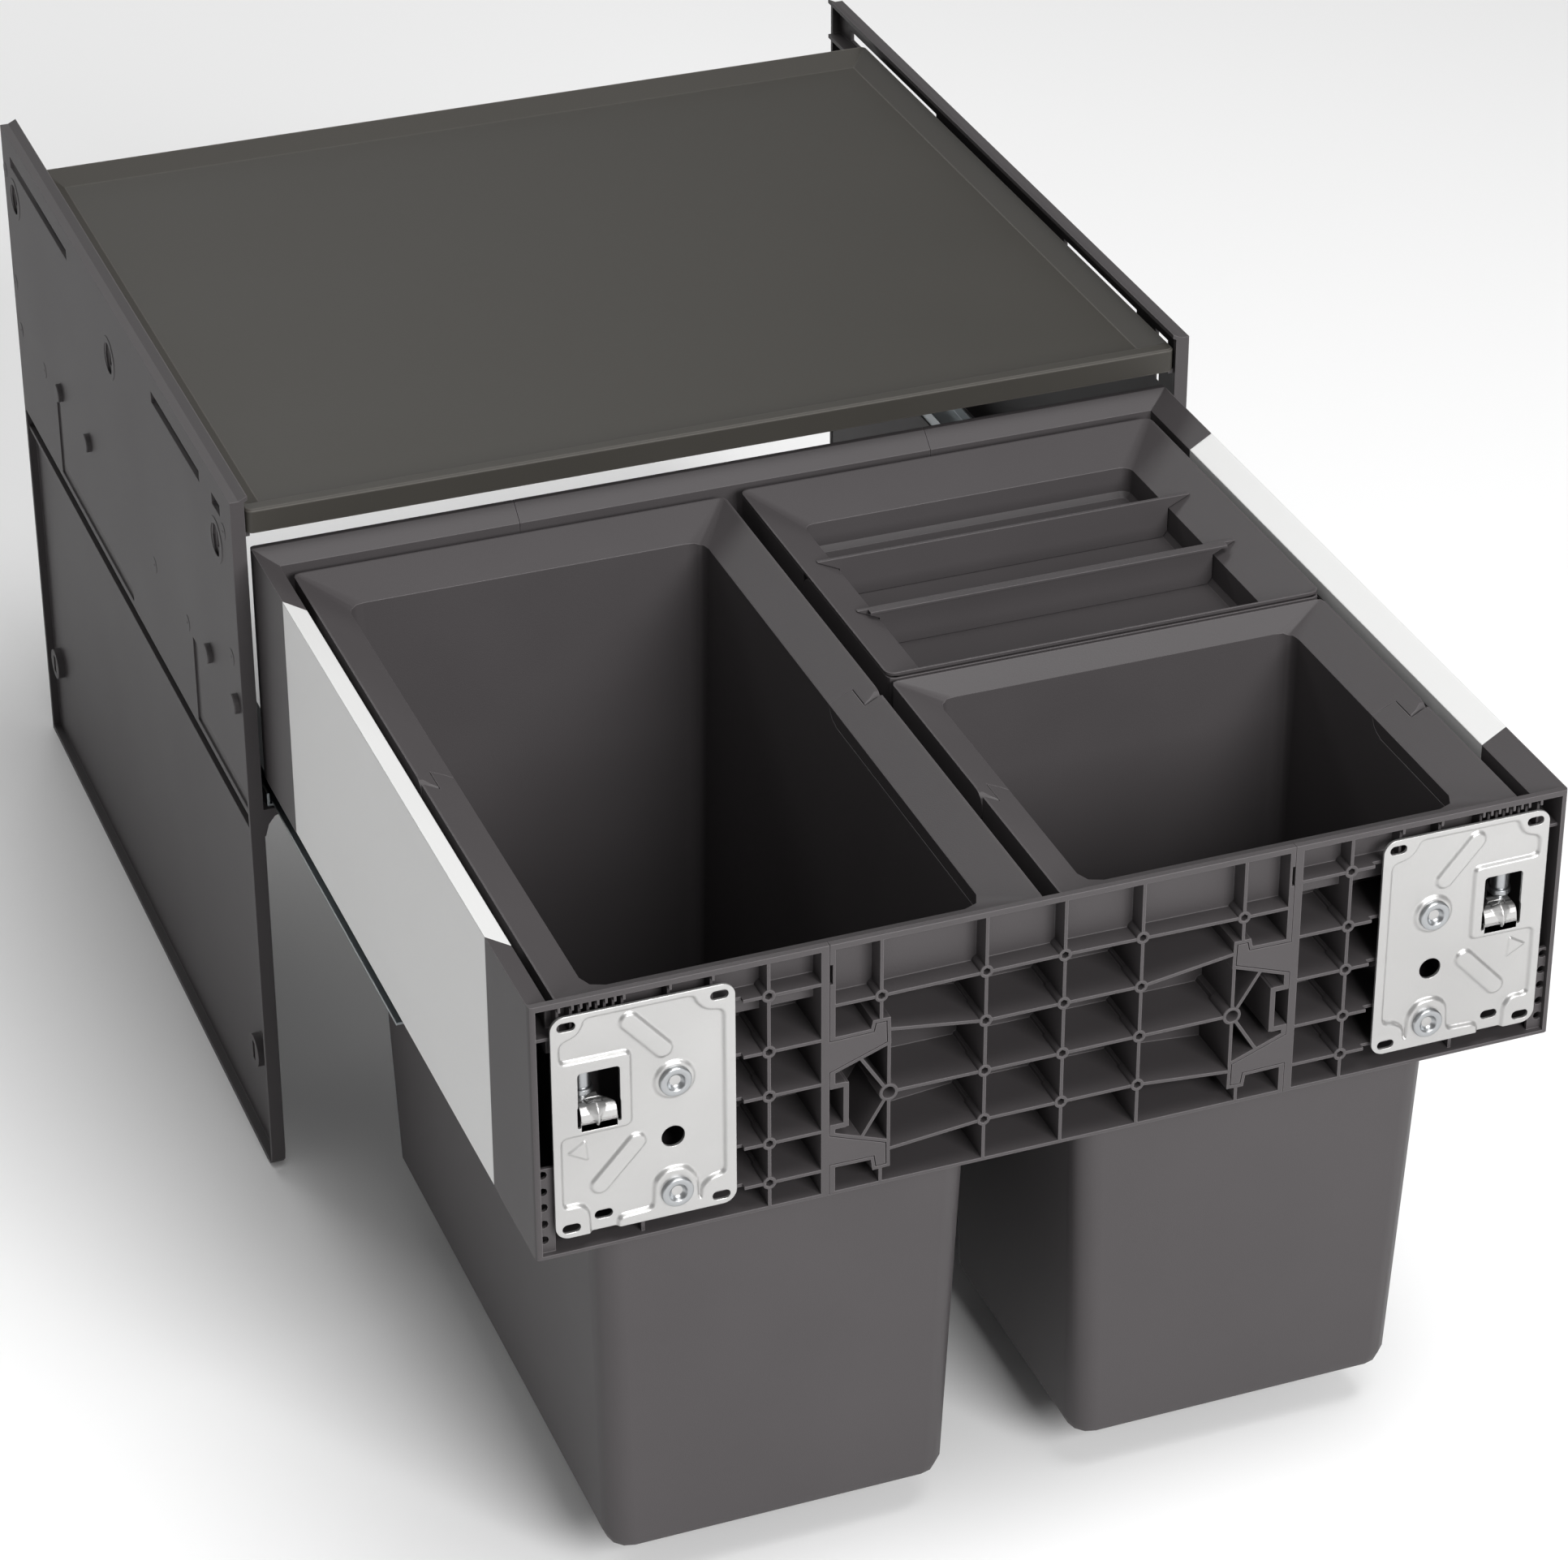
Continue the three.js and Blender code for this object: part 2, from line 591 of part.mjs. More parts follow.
function endSection(detailed) {
  const wallInside = halfDrawer - CORNER_WALL;
  const seatStart = 164.5; // the ribs stand back from here on, behind the fixing plate
  const rows = [380.4, 348.8, 323.5, 296.2, 273.3];
  const upright = 151.7;
  const comb = [179.2, 200.3, 223, 227.4, 231.7, 235.7, 239.7, 244, 248.2, 254.8];
  const screwPlaces = screwHeights.map((z) => [screwX, z]);
  const front = frontShell(SEAM + CLEARANCE / 2, halfDrawer + 1);
  const inner = join(
    box(SEAM + CLEARANCE / 2, SEAM + END_BAR, frontFace, frontFace + ledgeEdge, frameBottom, FRAME_TOP),
    rib(upright, frameBottom + 1, upright, cellRoof + 1),
    rib(SEAM + 1, rows[0], wallInside + 1, rows[0]),
    ...rows.slice(1).map((z) => rib(SEAM + 1, z, 215, z)),
    ...(detailed ? comb : comb.slice(0, 2)).map((x) => rib(x, rows[0], x, cellRoof + 1, 1.2)),
    rib(215, frameBottom + 1, 215, rows[0]),
    ...(detailed ? rows.map((z) => boss(upright, z)) : []),
    ...(detailed ? screwPlaces.map(([x, z]) => boss(x, z, 8)) : []),
    box(adjusterX - 7, adjusterX + 7, adjusterY - 7, frontFace + ledgeEdge, 357, LEDGE_HEIGHT - 1),
  ).intersect(frameBlock);
  const hooks = join(
    prism("y", upperHook, frontFace, frontFace + HOOK_DEPTH),
    prism("y", lowerHook, frontFace, frontFace + HOOK_DEPTH),
  );
  const fitted = cut(
    join(front, inner),
    box(
      seatStart,
      wallInside,
      frontFace - 1,
      frontFace + PLATE_SEAT,
      cellFloor,
      PLATE_TOP + 2.5,
    ),
    ...(detailed ? rows.map((z) => bore(upright, z)) : []),
    ...(detailed ? screwPlaces : []).map(([x, z]) =>
      bore(x, z, SCREW_SHANK + 2 * CLEARANCE, ledgeEdge - FRAME_WALL),
    ),
    bar("z", ADJUSTER_RADIUS + 2 * CLEARANCE, 20, adjusterX, adjusterY, 357, 12),
  );
  // the leg along the side, hollow and open at its end
  const legEnd = frontFace + CORNER_LENGTH;
  const leg = cut(
    frameBlock.intersect(
      box(halfDrawer - ledgeEdge - 1, halfDrawer, frontFace + ledgeEdge, legEnd, 0, FRAME_TOP),
    ),
    cut(
      box(0, wallInside, frontFace + ledgeEdge, legEnd + 1, cellFloor, cellRoof),
      frameLining,
    ),
  );
  // notched strip at the lower outer corner, and a locating peg
  const strip = cut(
    box(
      258.8,
      wallInside + 1,
      frontFace + PLATE_SEAT,
      frontFace + PLATE_SEAT + 2,
      frameBottom,
      308,
    ),
    ...[304.5, 294.9, 285.9, 276.3, 267.2].map((z) => bar("y", 2.4, 12, 264.5, frontFace, z, 8)),
  );
  const peg = box(231.2, 239.9, frontFace + 8, frontFace + 16, frameBottom - 2.1, frameBottom + 1);
  return join(fitted, leg, hooks, ...(detailed ? [strip, peg] : []));
}

function halfTurn(mesh) {
  mesh.rotation.z = Math.PI;
  mesh.position.y = 2 * middleY;
  return mesh;
}
place("front_centre_section", geometryOf(centreSection(true)), ANTHRACITE);
halfTurn(place("rear_centre_section", geometryOf(centreSection(false)), ANTHRACITE));
placePair("front_end_section", endSection(true), ANTHRACITE);
const rearEnd = geometryOf(endSection(false));
halfTurn(place("rear_end_section_left", rearEnd, ANTHRACITE));
halfTurn(place("rear_end_section_right", rearEnd, ANTHRACITE)).scale.x = -1;

// the sides between the corners: a dark carrying beam inside a pale sheet profile
const sideFrom = frontFace + CORNER_LENGTH + CLEARANCE;
const sideTo = backFace - CORNER_LENGTH - CLEARANCE;
const bevelEdge = halfDrawer - BEVEL_WIDTH;
const beamTop = FRAME_TOP - BEVEL_DROP - 10;

function sideBeam() {
  const outer = halfDrawer - PROFILE_SHEET - CLEARANCE;
  const inner = halfDrawer - ledgeEdge;
  const wall = FRAME_WALL;
  const outline = [
    [outer, beamTop],
    [outer - wall, beamTop],
    [outer - wall, frameBottom + wall],
    [inner + wall, frameBottom + wall],
    [inner + wall, LEDGE_HEIGHT - wall],
    [bevelEdge + wall, LEDGE_HEIGHT - wall],
    [bevelEdge + wall, beamTop],
    [bevelEdge, beamTop],
    [bevelEdge, LEDGE_HEIGHT],
    [inner, LEDGE_HEIGHT],
    [inner, frameBottom],
    [outer, frameBottom],
  ];
  return prism("y", outline, sideFrom, sideTo);
}
placePair("side_beam", sideBeam(), ANTHRACITE);

function sideProfile() {
  const sheet = PROFILE_SHEET;
  const foot = FRAME_TOP - BEVEL_DROP;
  const bottom = frameBottom + 0.7;
  const outline = [
    [halfDrawer, bottom],
    [halfDrawer, FRAME_TOP],
    [bevelEdge, foot],
    [bevelEdge, beamTop + 1],
    [bevelEdge + sheet, beamTop + 1],
    [bevelEdge + sheet, foot - sheet / 2],
    [halfDrawer - sheet, FRAME_TOP - 2.2 * sheet],
    [halfDrawer - sheet, bottom],
  ];
  return prism("y", outline, sideFrom, sideTo);
}
placePair("side_profile", sideProfile(), PALE_SHEET);

// the rail down the middle, under the bins' inner rims
function centreRail() {
  const y0 = frontFace + ledgeEdge + CLEARANCE;
  const y1 = backFace - ledgeEdge - CLEARANCE;
  return join(
    box(-20, 20, y0, y1, LEDGE_HEIGHT - 2, LEDGE_HEIGHT),
    box(-10, -8, y0, y1, LEDGE_HEIGHT - 26, LEDGE_HEIGHT - 1),
    box(8, 10, y0, y1, LEDGE_HEIGHT - 26, LEDGE_HEIGHT - 1),
  );
}
place("centre_rail", geometryOf(centreRail()), ANTHRACITE);

// ---------------------------------------------------------------- slides
// A channel section: floor at z0, walls reaching to z1, which may lie below the floor.
function channel(y0, z0, z1) {
  const up = Math.sign(z1 - z0);
  const a = slideX - SLIDE_WIDTH / 2;
  const b = slideX + SLIDE_WIDTH / 2;
  const outline = [
    [a, z0],
    [b, z0],
    [b, z1],
    [b - SLIDE_SHEET, z1],
    [b - SLIDE_SHEET, z0 + up * SLIDE_SHEET],
    [a + SLIDE_SHEET, z0 + up * SLIDE_SHEET],
    [a + SLIDE_SHEET, z1],
    [a, z1],
  ];
  return prism("y", outline, y0, y0 + SLIDE_LENGTH);
}
const slideMiddle = slideBottom + SLIDE_HEIGHT / 2 + 0.5;
placePair("cabinet_rail", channel(SLIDE_SETBACK, slideBottom, slideMiddle - CLEARANCE), STEEL);
placePair("drawer_rail", channel(SLIDE_SETBACK - DRAWER_PULL, slideTop, slideMiddle + CLEARANCE), STEEL);

function middleRail() {
  const y0 = SLIDE_SETBACK - DRAWER_PULL / 2;
  const low = slideBottom + SLIDE_SHEET + CLEARANCE;
  const high = slideTop - SLIDE_SHEET - CLEARANCE;
  const half = SLIDE_WIDTH / 2 - SLIDE_SHEET - 1.2;
  const layer = (w, z0, z1) => box(slideX - w, slideX + w, y0, y0 + SLIDE_LENGTH, z0, z1);
  return join(
    layer(half, low, low + SLIDE_SHEET),
    layer(1.5, low + 1, high - 1),
    layer(half, high - SLIDE_SHEET, high),
  );
}
placePair("middle_rail", middleRail(), STEEL);

// ---------------------------------------------------------------- bins and handles
const binX0 = BIN_GAP / 2;
const binX1 = halfDrawer - BEVEL_WIDTH - BIN_SIDE_GAP;
const binY0 = frontFace + BEVEL_WIDTH + BIN_FRONT_GAP;
const binY1 = backFace - BEVEL_WIDTH - BIN_REAR_GAP;
const pivotHeight = RIM_TOP - PIVOT_DROP;

// A bin whose rim fills the given rectangle, with its handle: shapes for both.
function binShapes(rim, rearRim) {
  const mouth = {
    x0: rim.x0 + RIM_WIDTH,
    x1: rim.x1 - RIM_WIDTH,
    y0: rim.y0 + RIM_WIDTH,
    y1: rim.y1 - rearRim,
  };
  const foot = {
    x0: mouth.x0 + BIN_TAPER,
    x1: mouth.x1 - BIN_TAPER,
    y0: mouth.y0 + BIN_LEAN,
    y1: mouth.y1 - BIN_LEAN,
  };
  const pivotY = (rim.y0 + rim.y1) / 2 - PIVOT_FORWARD;
  const middleX = (rim.x0 + rim.x1) / 2;
  const bothSides = (solid) =>
    join(solid, solid.translate([-middleX, 0, 0]).mirror([1, 0, 0]).translate([middleX, 0, 0]));
  // a bar about the pivot, between two distances inward from the rim's right-hand edge
  const aboutPivot = (radius, from, to, sides) =>
    bar("x", radius, to - from, rim.x1 - (from + to) / 2, pivotY, pivotHeight, sides);

  const block = (z0, z1, inset = 0) =>
    skin([ring(rim, 4, z0, inset, 2), ring(rim, 4, z1, inset, 2)]);
  const well = (z0, z1, grow = 0) =>
    skin([ring(mouth, 10, z0, -grow, 2), ring(mouth, 10, z1, -grow, 2)]);
  // everything above the sloping rim, lowered by some amount
  const above = (drop) =>
    skin([
      ring(mouth, 10, mouthHeight - drop, 0, 2),
      ring(rim, 4, RIM_TOP - drop, 1, 2),
      ring(rim, 4, RIM_TOP + 1, 1, 2),
    ]);
  const bottomEdge = 9;
  const outside = skin([
    ring(foot, BIN_CORNER, BIN_BOTTOM, bottomEdge - BIN_WALL, 3),
    ring(foot, BIN_CORNER, BIN_BOTTOM + 2.6, bottomEdge * 0.3 - BIN_WALL, 3),
    ring(foot, BIN_CORNER, BIN_BOTTOM + bottomEdge, -BIN_WALL, 3),
    ring(mouth, BIN_CORNER, mouthHeight, -BIN_WALL, 3),
  ]);
  const inside = skin([
    ring(foot, BIN_CORNER - 2, BIN_BOTTOM + BIN_FLOOR, 6, 3),
    ring(foot, BIN_CORNER - 2, BIN_BOTTOM + BIN_FLOOR + 6, 0, 3),
    ring(mouth, BIN_CORNER - 2, mouthHeight, 0, 3),
    ring(mouth, BIN_CORNER - 2, mouthHeight + 1, 0, 3),
  ]);
  const underRim = cut(block(rimBottom - 1, RIM_TOP, RIM_WALL), above(RIM_WALL * 1.15), outside);
  const front = (y, z) => box(rim.x0 - 1, rim.x1 + 1, rim.y0 - 1, y, z, RIM_TOP + 1);
  const rimBody = cut(block(rimBottom, RIM_TOP), above(0), inside);
  const nose = bothSides(aboutPivot(PIVOT_DROP, 0, OUTER_BAND, 16));
  const flange = cut(
    block(rimBottom, handleFloor).intersect(front(pivotY + 2, 0)),
    inside,
  );
  const shell = cut(
    join(cut(join(block(rimBottom, RIM_TOP), outside), underRim), nose.intersect(rimBody)),
    above(0),
    inside,
    cut(front(pivotY, handleFloor), nose),
    bothSides(aboutPivot(TONGUE + CLEARANCE, OUTER_BAND, RIM_WIDTH + 6, 16)),
  );
  const bin = cut(
    join(shell, flange),
    bothSides(aboutPivot(PIVOT_RADIUS + CLEARANCE, OUTER_BAND - 5, OUTER_BAND + 1, 10)),
  );

  // the handle: the front half of the rim, hollow underneath, with a tongue at each end
  const handleBlock = cut(block(handleFloor + CLEARANCE, RIM_TOP), above(0), well(300, RIM_TOP));
  const hollow = cut(
    block(handleFloor - 1, RIM_TOP, HANDLE_WALL),
    above(HANDLE_WALL * 1.15),
    well(300, RIM_TOP, HANDLE_WALL),
  );
  const strip = OUTER_BAND + CLEARANCE * 1.5;
  const reach = join(
    front(pivotY - PIVOT_DROP - CLEARANCE, 0),
    front(pivotY, 0).intersect(box(rim.x0 + strip, rim.x1 - strip, -600, 100, 0, RIM_TOP)),
    bothSides(aboutPivot(TONGUE, strip, RIM_WIDTH + 6, 16)),
  );
  const cheek = bothSides(
    box(
      rim.x1 - strip - HANDLE_WALL,
      rim.x1 - strip,
      pivotY - PIVOT_DROP - 1,
      pivotY + 4,
      0,
      RIM_TOP,
    ),
  );
  const pins = bothSides(aboutPivot(PIVOT_RADIUS, OUTER_BAND - 4, strip + 1, 10));
  const handle = join(cut(handleBlock, cut(hollow, cheek)).intersect(reach), pins);
  return { bin, handle, pivotY };
}

const largeRim = { x0: -binX1, x1: -binX0, y0: binY0, y1: binY1 };
const large = binShapes(largeRim, REAR_RIM_LARGE);
place("large_bin", geometryOf(large.bin), ANTHRACITE);
place("large_bin_handle", geometryOf(large.handle), ANTHRACITE);

const smallLength = (binY1 - binY0 - SMALL_BIN_GAP) / 2;
const smallRim = { x0: binX0, x1: binX1, y0: binY0, y1: binY0 + smallLength };
const small = binShapes(smallRim, REAR_RIM_SMALL);
const smallBin = geometryOf(small.bin);
const smallHandle = geometryOf(small.handle);
place("front_bin", smallBin, ANTHRACITE);
place("front_bin_handle", smallHandle, ANTHRACITE);
// the rear bin is the same moulding, turned round
for (const [name, geometry] of [
  ["rear_bin", smallBin],
  ["rear_bin_handle", smallHandle],
]) {
  const turned = place(name, geometry, ANTHRACITE);
  turned.rotation.z = Math.PI;
  turned.position.set(binX0 + binX1, binY0 + binY1, 0);
}

// ---------------------------------------------------------------- organiser tray
const trayRect = {
  x0: binX0 - TRAY_OVERHANG,
  x1: binX1 + TRAY_OVERHANG,
  y0: binY1 - smallLength + 1,
  y1: binY1 - 1,
};
const trayMouth = {
  x0: trayRect.x0 + TRAY_RIM_SIDE,
  x1: trayRect.x1 - TRAY_RIM_SIDE,
  y0: trayRect.y0 + TRAY_RIM_FRONT,
  y1: trayRect.y1 - TRAY_RIM_REAR,
};
const trayMouthHeight = TRAY_TOP - TRAY_DROP;

function organiserTray() {
  const outside = skin([
    ring(trayMouth, 8, TRAY_FLOOR - TRAY_WALL, 3 - TRAY_WALL, 3),
    ring(trayMouth, 8, TRAY_FLOOR + 2, 0.4 - TRAY_WALL, 3),
    ring(trayMouth, 8, trayMouthHeight - TRAY_WALL, -TRAY_WALL, 3),
    ring(trayRect, 5, TRAY_TOP - TRAY_WALL, 0, 3),
    ring(trayRect, 5, TRAY_TOP, 0, 3),
  ]);
  const inside = skin([
    ring(trayMouth, 6, TRAY_FLOOR, 3, 3),
    ring(trayMouth, 6, TRAY_FLOOR + 3, 0.4, 3),
    ring(trayMouth, 6, trayMouthHeight, 0, 3),
    ring(trayRect, 5, TRAY_TOP, 1, 3),
    ring(trayRect, 5, TRAY_TOP + 1, 1, 3),
  ]);
  return cut(outside, inside);
}
place("organiser_tray", geometryOf(organiserTray()), ANTHRACITE);

function divider(y, lip) {
  const slope = TRAY_DROP / TRAY_RIM_SIDE;
  const knee = CLEARANCE + 0.4;
  const left = [
    [trayMouth.x0 + 3.2, TRAY_FLOOR + CLEARANCE],
    [trayMouth.x0 + knee, TRAY_FLOOR + 4],
    [trayMouth.x0 + knee, trayMouthHeight + CLEARANCE],
    [trayMouth.x0 - DIVIDER_TIP, trayMouthHeight + CLEARANCE + slope * (DIVIDER_TIP + 1)],
    [trayMouth.x0 - DIVIDER_TIP, DIVIDER_TOP],
  ];
  const middle = trayMouth.x0 + trayMouth.x1;
  const right = left.map(([x, z]) => [middle - x, z]).reverse();
  const plate = prism("y", [...left, ...right], y - DIVIDER_SHEET / 2, y + DIVIDER_SHEET / 2);
  if (!lip) return plate;
  const shelf = box(
    trayMouth.x0 - DIVIDER_TIP / 2,
    trayMouth.x1 + DIVIDER_TIP / 2,
    y - DIVIDER_SHEET / 2 - DIVIDER_LIP,
    y,
    DIVIDER_TOP - 1.5,
    DIVIDER_TOP,
  );
  return join(plate, shelf);
}
place("rear_divider", geometryOf(divider(trayRect.y1 - DIVIDER_PLACES[0], false)), ANTHRACITE);
place("front_divider", geometryOf(divider(trayRect.y1 - DIVIDER_PLACES[1], true)), ANTHRACITE);

// ---------------------------------------------------------------- front fixing plates
const plateX1 = halfDrawer - PLATE_INSET;
const plateX0 = plateX1 - PLATE_WIDTH;
const plateBottom = PLATE_TOP - PLATE_HEIGHT;

function roundedRectangle(x0, x1, z0, z1, r) {
  const shape = new THREE.Shape();
  shape.moveTo(x0 + r, z0);
  shape.lineTo(x1 - r, z0);
  shape.quadraticCurveTo(x1, z0, x1, z0 + r);
  shape.lineTo(x1, z1 - r);
  shape.quadraticCurveTo(x1, z1, x1 - r, z1);
  shape.lineTo(x0 + r, z1);
  shape.quadraticCurveTo(x0, z1, x0, z1 - r);
  shape.lineTo(x0, z0 + r);
  shape.quadraticCurveTo(x0, z0, x0 + r, z0);
  return shape;
}

// A raised bead on the plate's front from one point to another, with round ends and sloping sides.
function bead(x0, z0, x1, z1, width) {
  const length = Math.hypot(x1 - x0, z1 - z0) + width;
  const loop = (w, y) => {
    const flat = { x0: -length / 2 + w, x1: length / 2 - w, y0: -width / 2 + w, y1: width / 2 - w };
    return ring(flat, width / 2 - w - 0.05, y, 0, 2);
  };
  const lying = skin([loop(0, 0), loop(PLATE_EMBOSS * 0.8, PLATE_EMBOSS + 0.5)]);
  const angle = (Math.atan2(z1 - z0, x1 - x0) * 180) / Math.PI;
  return lying
    .rotate([0, 0, angle])
    .rotate([90, 0, 0])
    .translate([(x0 + x1) / 2, plateFront + 0.5, (z0 + z1) / 2]);
}

function fixingPlate() {
  const windowBox = [226.1, 247.1, 329.3, 360.2];
  const arrow = [
    [243.7, 320.9],
    [252.4, 315.1],
    [242.1, 309.6],
  ];
  const sheet = prism(
    "y",
    roundedRectangle(plateX0, plateX1, plateBottom, PLATE_TOP, PLATE_CORNER),
    plateFront,
    plateBack,
  );
  const slots = [
    [252, 387.6],
    [176.6, 387.5],
    [176.3, 273.3],
    [251.9, 273.4],
    [235.1, 276.4],
  ];
  const slotted = (x, z, w, h) =>
    prism("y", roundedRectangle(x - w, x + w, z - h, z + h, Math.min(w, h) - 0.1), plateFront - 1, plateBack + 1);
  const slot = ([x, z]) => slotted(x, z, 4.6, 2.5);
  const hole = bar("y", 5.9, 10, 199.7, plateFront, 312.1, 12);
  const screwHole = (z) => slotted(screwX, z, SCREW_SHANK + CLEARANCE, SCREW_SHANK + PLATE_TRAVEL + 0.5);
  const window = box(
    windowBox[0],
    windowBox[1],
    plateFront - 1,
    plateBack + 1,
    windowBox[2],
    windowBox[3],
  );
  const beads = join(
    bead(220.6, 382.5, 204.3, 363.5, 10),
    bead(236.6, 294, 218.3, 314, 10),
    bead(252, 367, 224.5, 366.5, 5),
    bead(242, 389, 189, 389, 2.6),
    bead(173.7, 377.5, 173.7, 284.5, 2.6),
    bead(256, 377.5, 256, 319, 2.6),
    bead(225, 270.6, 188, 270.6, 2.6),
    prism("y", arrow, plateFront - PLATE_EMBOSS / 2, plateFront + 0.5),
  );
  // the tongue bends in from the window's lower edge and up to the stud's collar
  const tongueOutline = [
    [plateFront, windowBox[2] - 1],
    [plateBack, windowBox[2] - 1],
    [plateBack, windowBox[2] + 3],
    [plateBack + 4, 346.6],
    [plateBack + 12, 346.6],
    [plateBack + 12, 348.2],
    [plateBack + 2.5, 348.2],
    [plateFront, windowBox[2] + 4],
  ];
  const tongue = prism("x", tongueOutline, windowBox[0] + 2, windowBox[1] - 2);
  return cut(
    join(sheet, beads, tongue),
    ...slots.map(slot),
    hole,
    ...screwHeights.map(screwHole),
    cut(window, tongue),
    bar("z", 2.6, 6, adjusterX, adjusterY, 347.4, 8),
  );
}
placePair("fixing_plate", fixingPlate(), ZINC);

// A turned piece about a line along y, from its half outline (radius, distance behind the face).
function turned(outline, sides) {
  const points = outline.map(([r, h]) => new THREE.Vector2(r, h));
  return new THREE.LatheGeometry(points, sides);
}
function plateScrew(z) {
  const r = SCREW_HEAD / 2;
  const outline = [
    [0, -0.9],
    [2.6, -0.9],
    [2.6, -SCREW_PROUD],
    [r - 1.5, -SCREW_PROUD],
    [r, 1 - SCREW_PROUD],
    [r, -CLEARANCE],
    [SCREW_SHANK, -CLEARANCE],
    [SCREW_SHANK, 18],
    [0, 18],
  ];
  const geometry = turned(outline, 10);
  geometry.translate(screwX, plateFront, z);
  return geometry;
}
screwHeights.forEach((z, i) => {
  const name = i ? "plate_screw_lower" : "plate_screw_upper";
  const solid = solidOf(plateScrew(z));
  placePair(name, solid, STEEL);
});

const adjuster = solidOf(
  turned(
    [
      [0, 343.4],
      [3.4, 343.4],
      [3.4, 345.8],
      [2, 345.8],
      [2, 348.8],
      [5.9, 348.8],
      [5.9, 350.6],
      [ADJUSTER_RADIUS, 350.6],
      [ADJUSTER_RADIUS, 364],
      [0, 364],
    ],
    12,
  )
    .rotateX(Math.PI / 2)
    .translate(adjusterX, adjusterY, 0),
);
placePair("height_adjuster", adjuster, STEEL);

// the origin is under the middle of the whole, halfway between its front and its back
group.position.y = -(plateFront - SCREW_PROUD + PANEL_DEPTH) / 2;

export default group;
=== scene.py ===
# %% [markdown]
# # A pull-out waste cabinet insert, dressed for a product picture
#
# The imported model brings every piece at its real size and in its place, in metres. This file gives each
# of them its finish, and makes again, as finer surfaces, the pieces whose looks need more than flat facets:
# moulded bins and frame, pressed plates, turned screws. The drawer's rails are made again a little shorter
# and narrower. Every piece rides on its own body, so that the drawer, bins, handles and plates still move.

import json
import math

import bmesh
import bpy
import numpy as np
from mathutils import Matrix, Vector


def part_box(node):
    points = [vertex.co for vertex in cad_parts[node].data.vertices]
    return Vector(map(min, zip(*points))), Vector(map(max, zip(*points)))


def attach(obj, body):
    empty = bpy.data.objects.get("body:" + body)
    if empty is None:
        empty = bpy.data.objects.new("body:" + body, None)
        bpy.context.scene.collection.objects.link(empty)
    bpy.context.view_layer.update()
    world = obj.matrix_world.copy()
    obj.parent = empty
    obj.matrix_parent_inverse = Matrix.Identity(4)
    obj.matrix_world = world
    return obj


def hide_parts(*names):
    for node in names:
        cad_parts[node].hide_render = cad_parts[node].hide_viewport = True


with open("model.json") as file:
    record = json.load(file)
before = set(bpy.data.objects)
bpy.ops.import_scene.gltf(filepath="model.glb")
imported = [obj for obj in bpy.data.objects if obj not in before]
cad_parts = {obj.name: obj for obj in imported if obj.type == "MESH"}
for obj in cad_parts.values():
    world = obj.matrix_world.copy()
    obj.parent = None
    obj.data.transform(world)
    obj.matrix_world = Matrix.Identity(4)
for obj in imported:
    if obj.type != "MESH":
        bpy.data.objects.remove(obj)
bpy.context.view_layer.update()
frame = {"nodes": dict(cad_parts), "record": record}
nodes = frame["nodes"]
body_of_node = {n: b for b, members in frame["record"]["behaviour"]["bodies"].items() for n in members}
slot_of_node = {row["node"]: row["material_slot"] for row in frame["record"]["subparts"]}
MM = 0.001
SIDES = {"left": -1, "right": 1}  # which way x grows outward

# %% [markdown]
# ## Camera
#
# The picture was taken with a long lens from the front left, a little above the drawer. A camera could be
# aimed at a point, but here its three turns are stated one by one, because the picture's vanishing points
# give exactly these. The lens is shifted, so that the frame holds the whole object without a further turn.

# %% Camera at the picture's viewpoint
CAMERA_PLACE = Vector((-0.8240, -2.2952, 1.6551))
CAMERA_TURN = math.radians(-20.79)  # about the vertical, from looking along +Y
CAMERA_TILT = math.radians(-29.73)  # below the horizon
CAMERA_ROLL = math.radians(-0.16)
SENSOR_WIDTH = 36  # millimetres, as is the lens
LENS = 112.6
SHIFT_Y = -0.0771  # share of the sensor's width
OBJECT_MIDDLE = Vector((0, 0, 0.2))

scene = bpy.context.scene


def link(obj):
    """Put an object into the scene and give it back."""
    scene.collection.objects.link(obj)
    return obj


camera = link(bpy.data.objects.new("camera", bpy.data.cameras.new("camera")))
scene.camera = camera
camera.matrix_world = (
    Matrix.Translation(CAMERA_PLACE)
    @ Matrix.Rotation(CAMERA_TURN, 4, "Z")
    @ Matrix.Rotation(math.pi / 2 + CAMERA_TILT, 4, "X")
    @ Matrix.Rotation(CAMERA_ROLL, 4, "Z")
)
camera.data.sensor_width = SENSOR_WIDTH
camera.data.lens = LENS
camera.data.shift_y = SHIFT_Y
print("camera", round((CAMERA_PLACE - OBJECT_MIDDLE).length, 2), "m away")

# %% [markdown]
# ## Floor and light
#
# The picture has no hard shadows, bright tops and fronts, and darker left sides. A weak pale sky and the
# floor's own bounce light every side alike. A large lamp in front, not much higher than the drawer, lights
# the fronts and the upper part of the bins' rear walls, so that their insides fall to black. A second lamp
# overhead adds the rest to the tops. Both stand to the right of the middle, so the left sides stay dark.
# A long lamp behind draws the bright lines along the rear edges. An environment picture could do all this
# at once, but separate lamps can each be set against one face of the object.

# %% Floor
FLOOR_REACH = 7  # from the middle to each edge
FLOOR_COLOUR = (0.92, 0.92, 0.92)
FLOOR_ROUGHNESS = 0.9

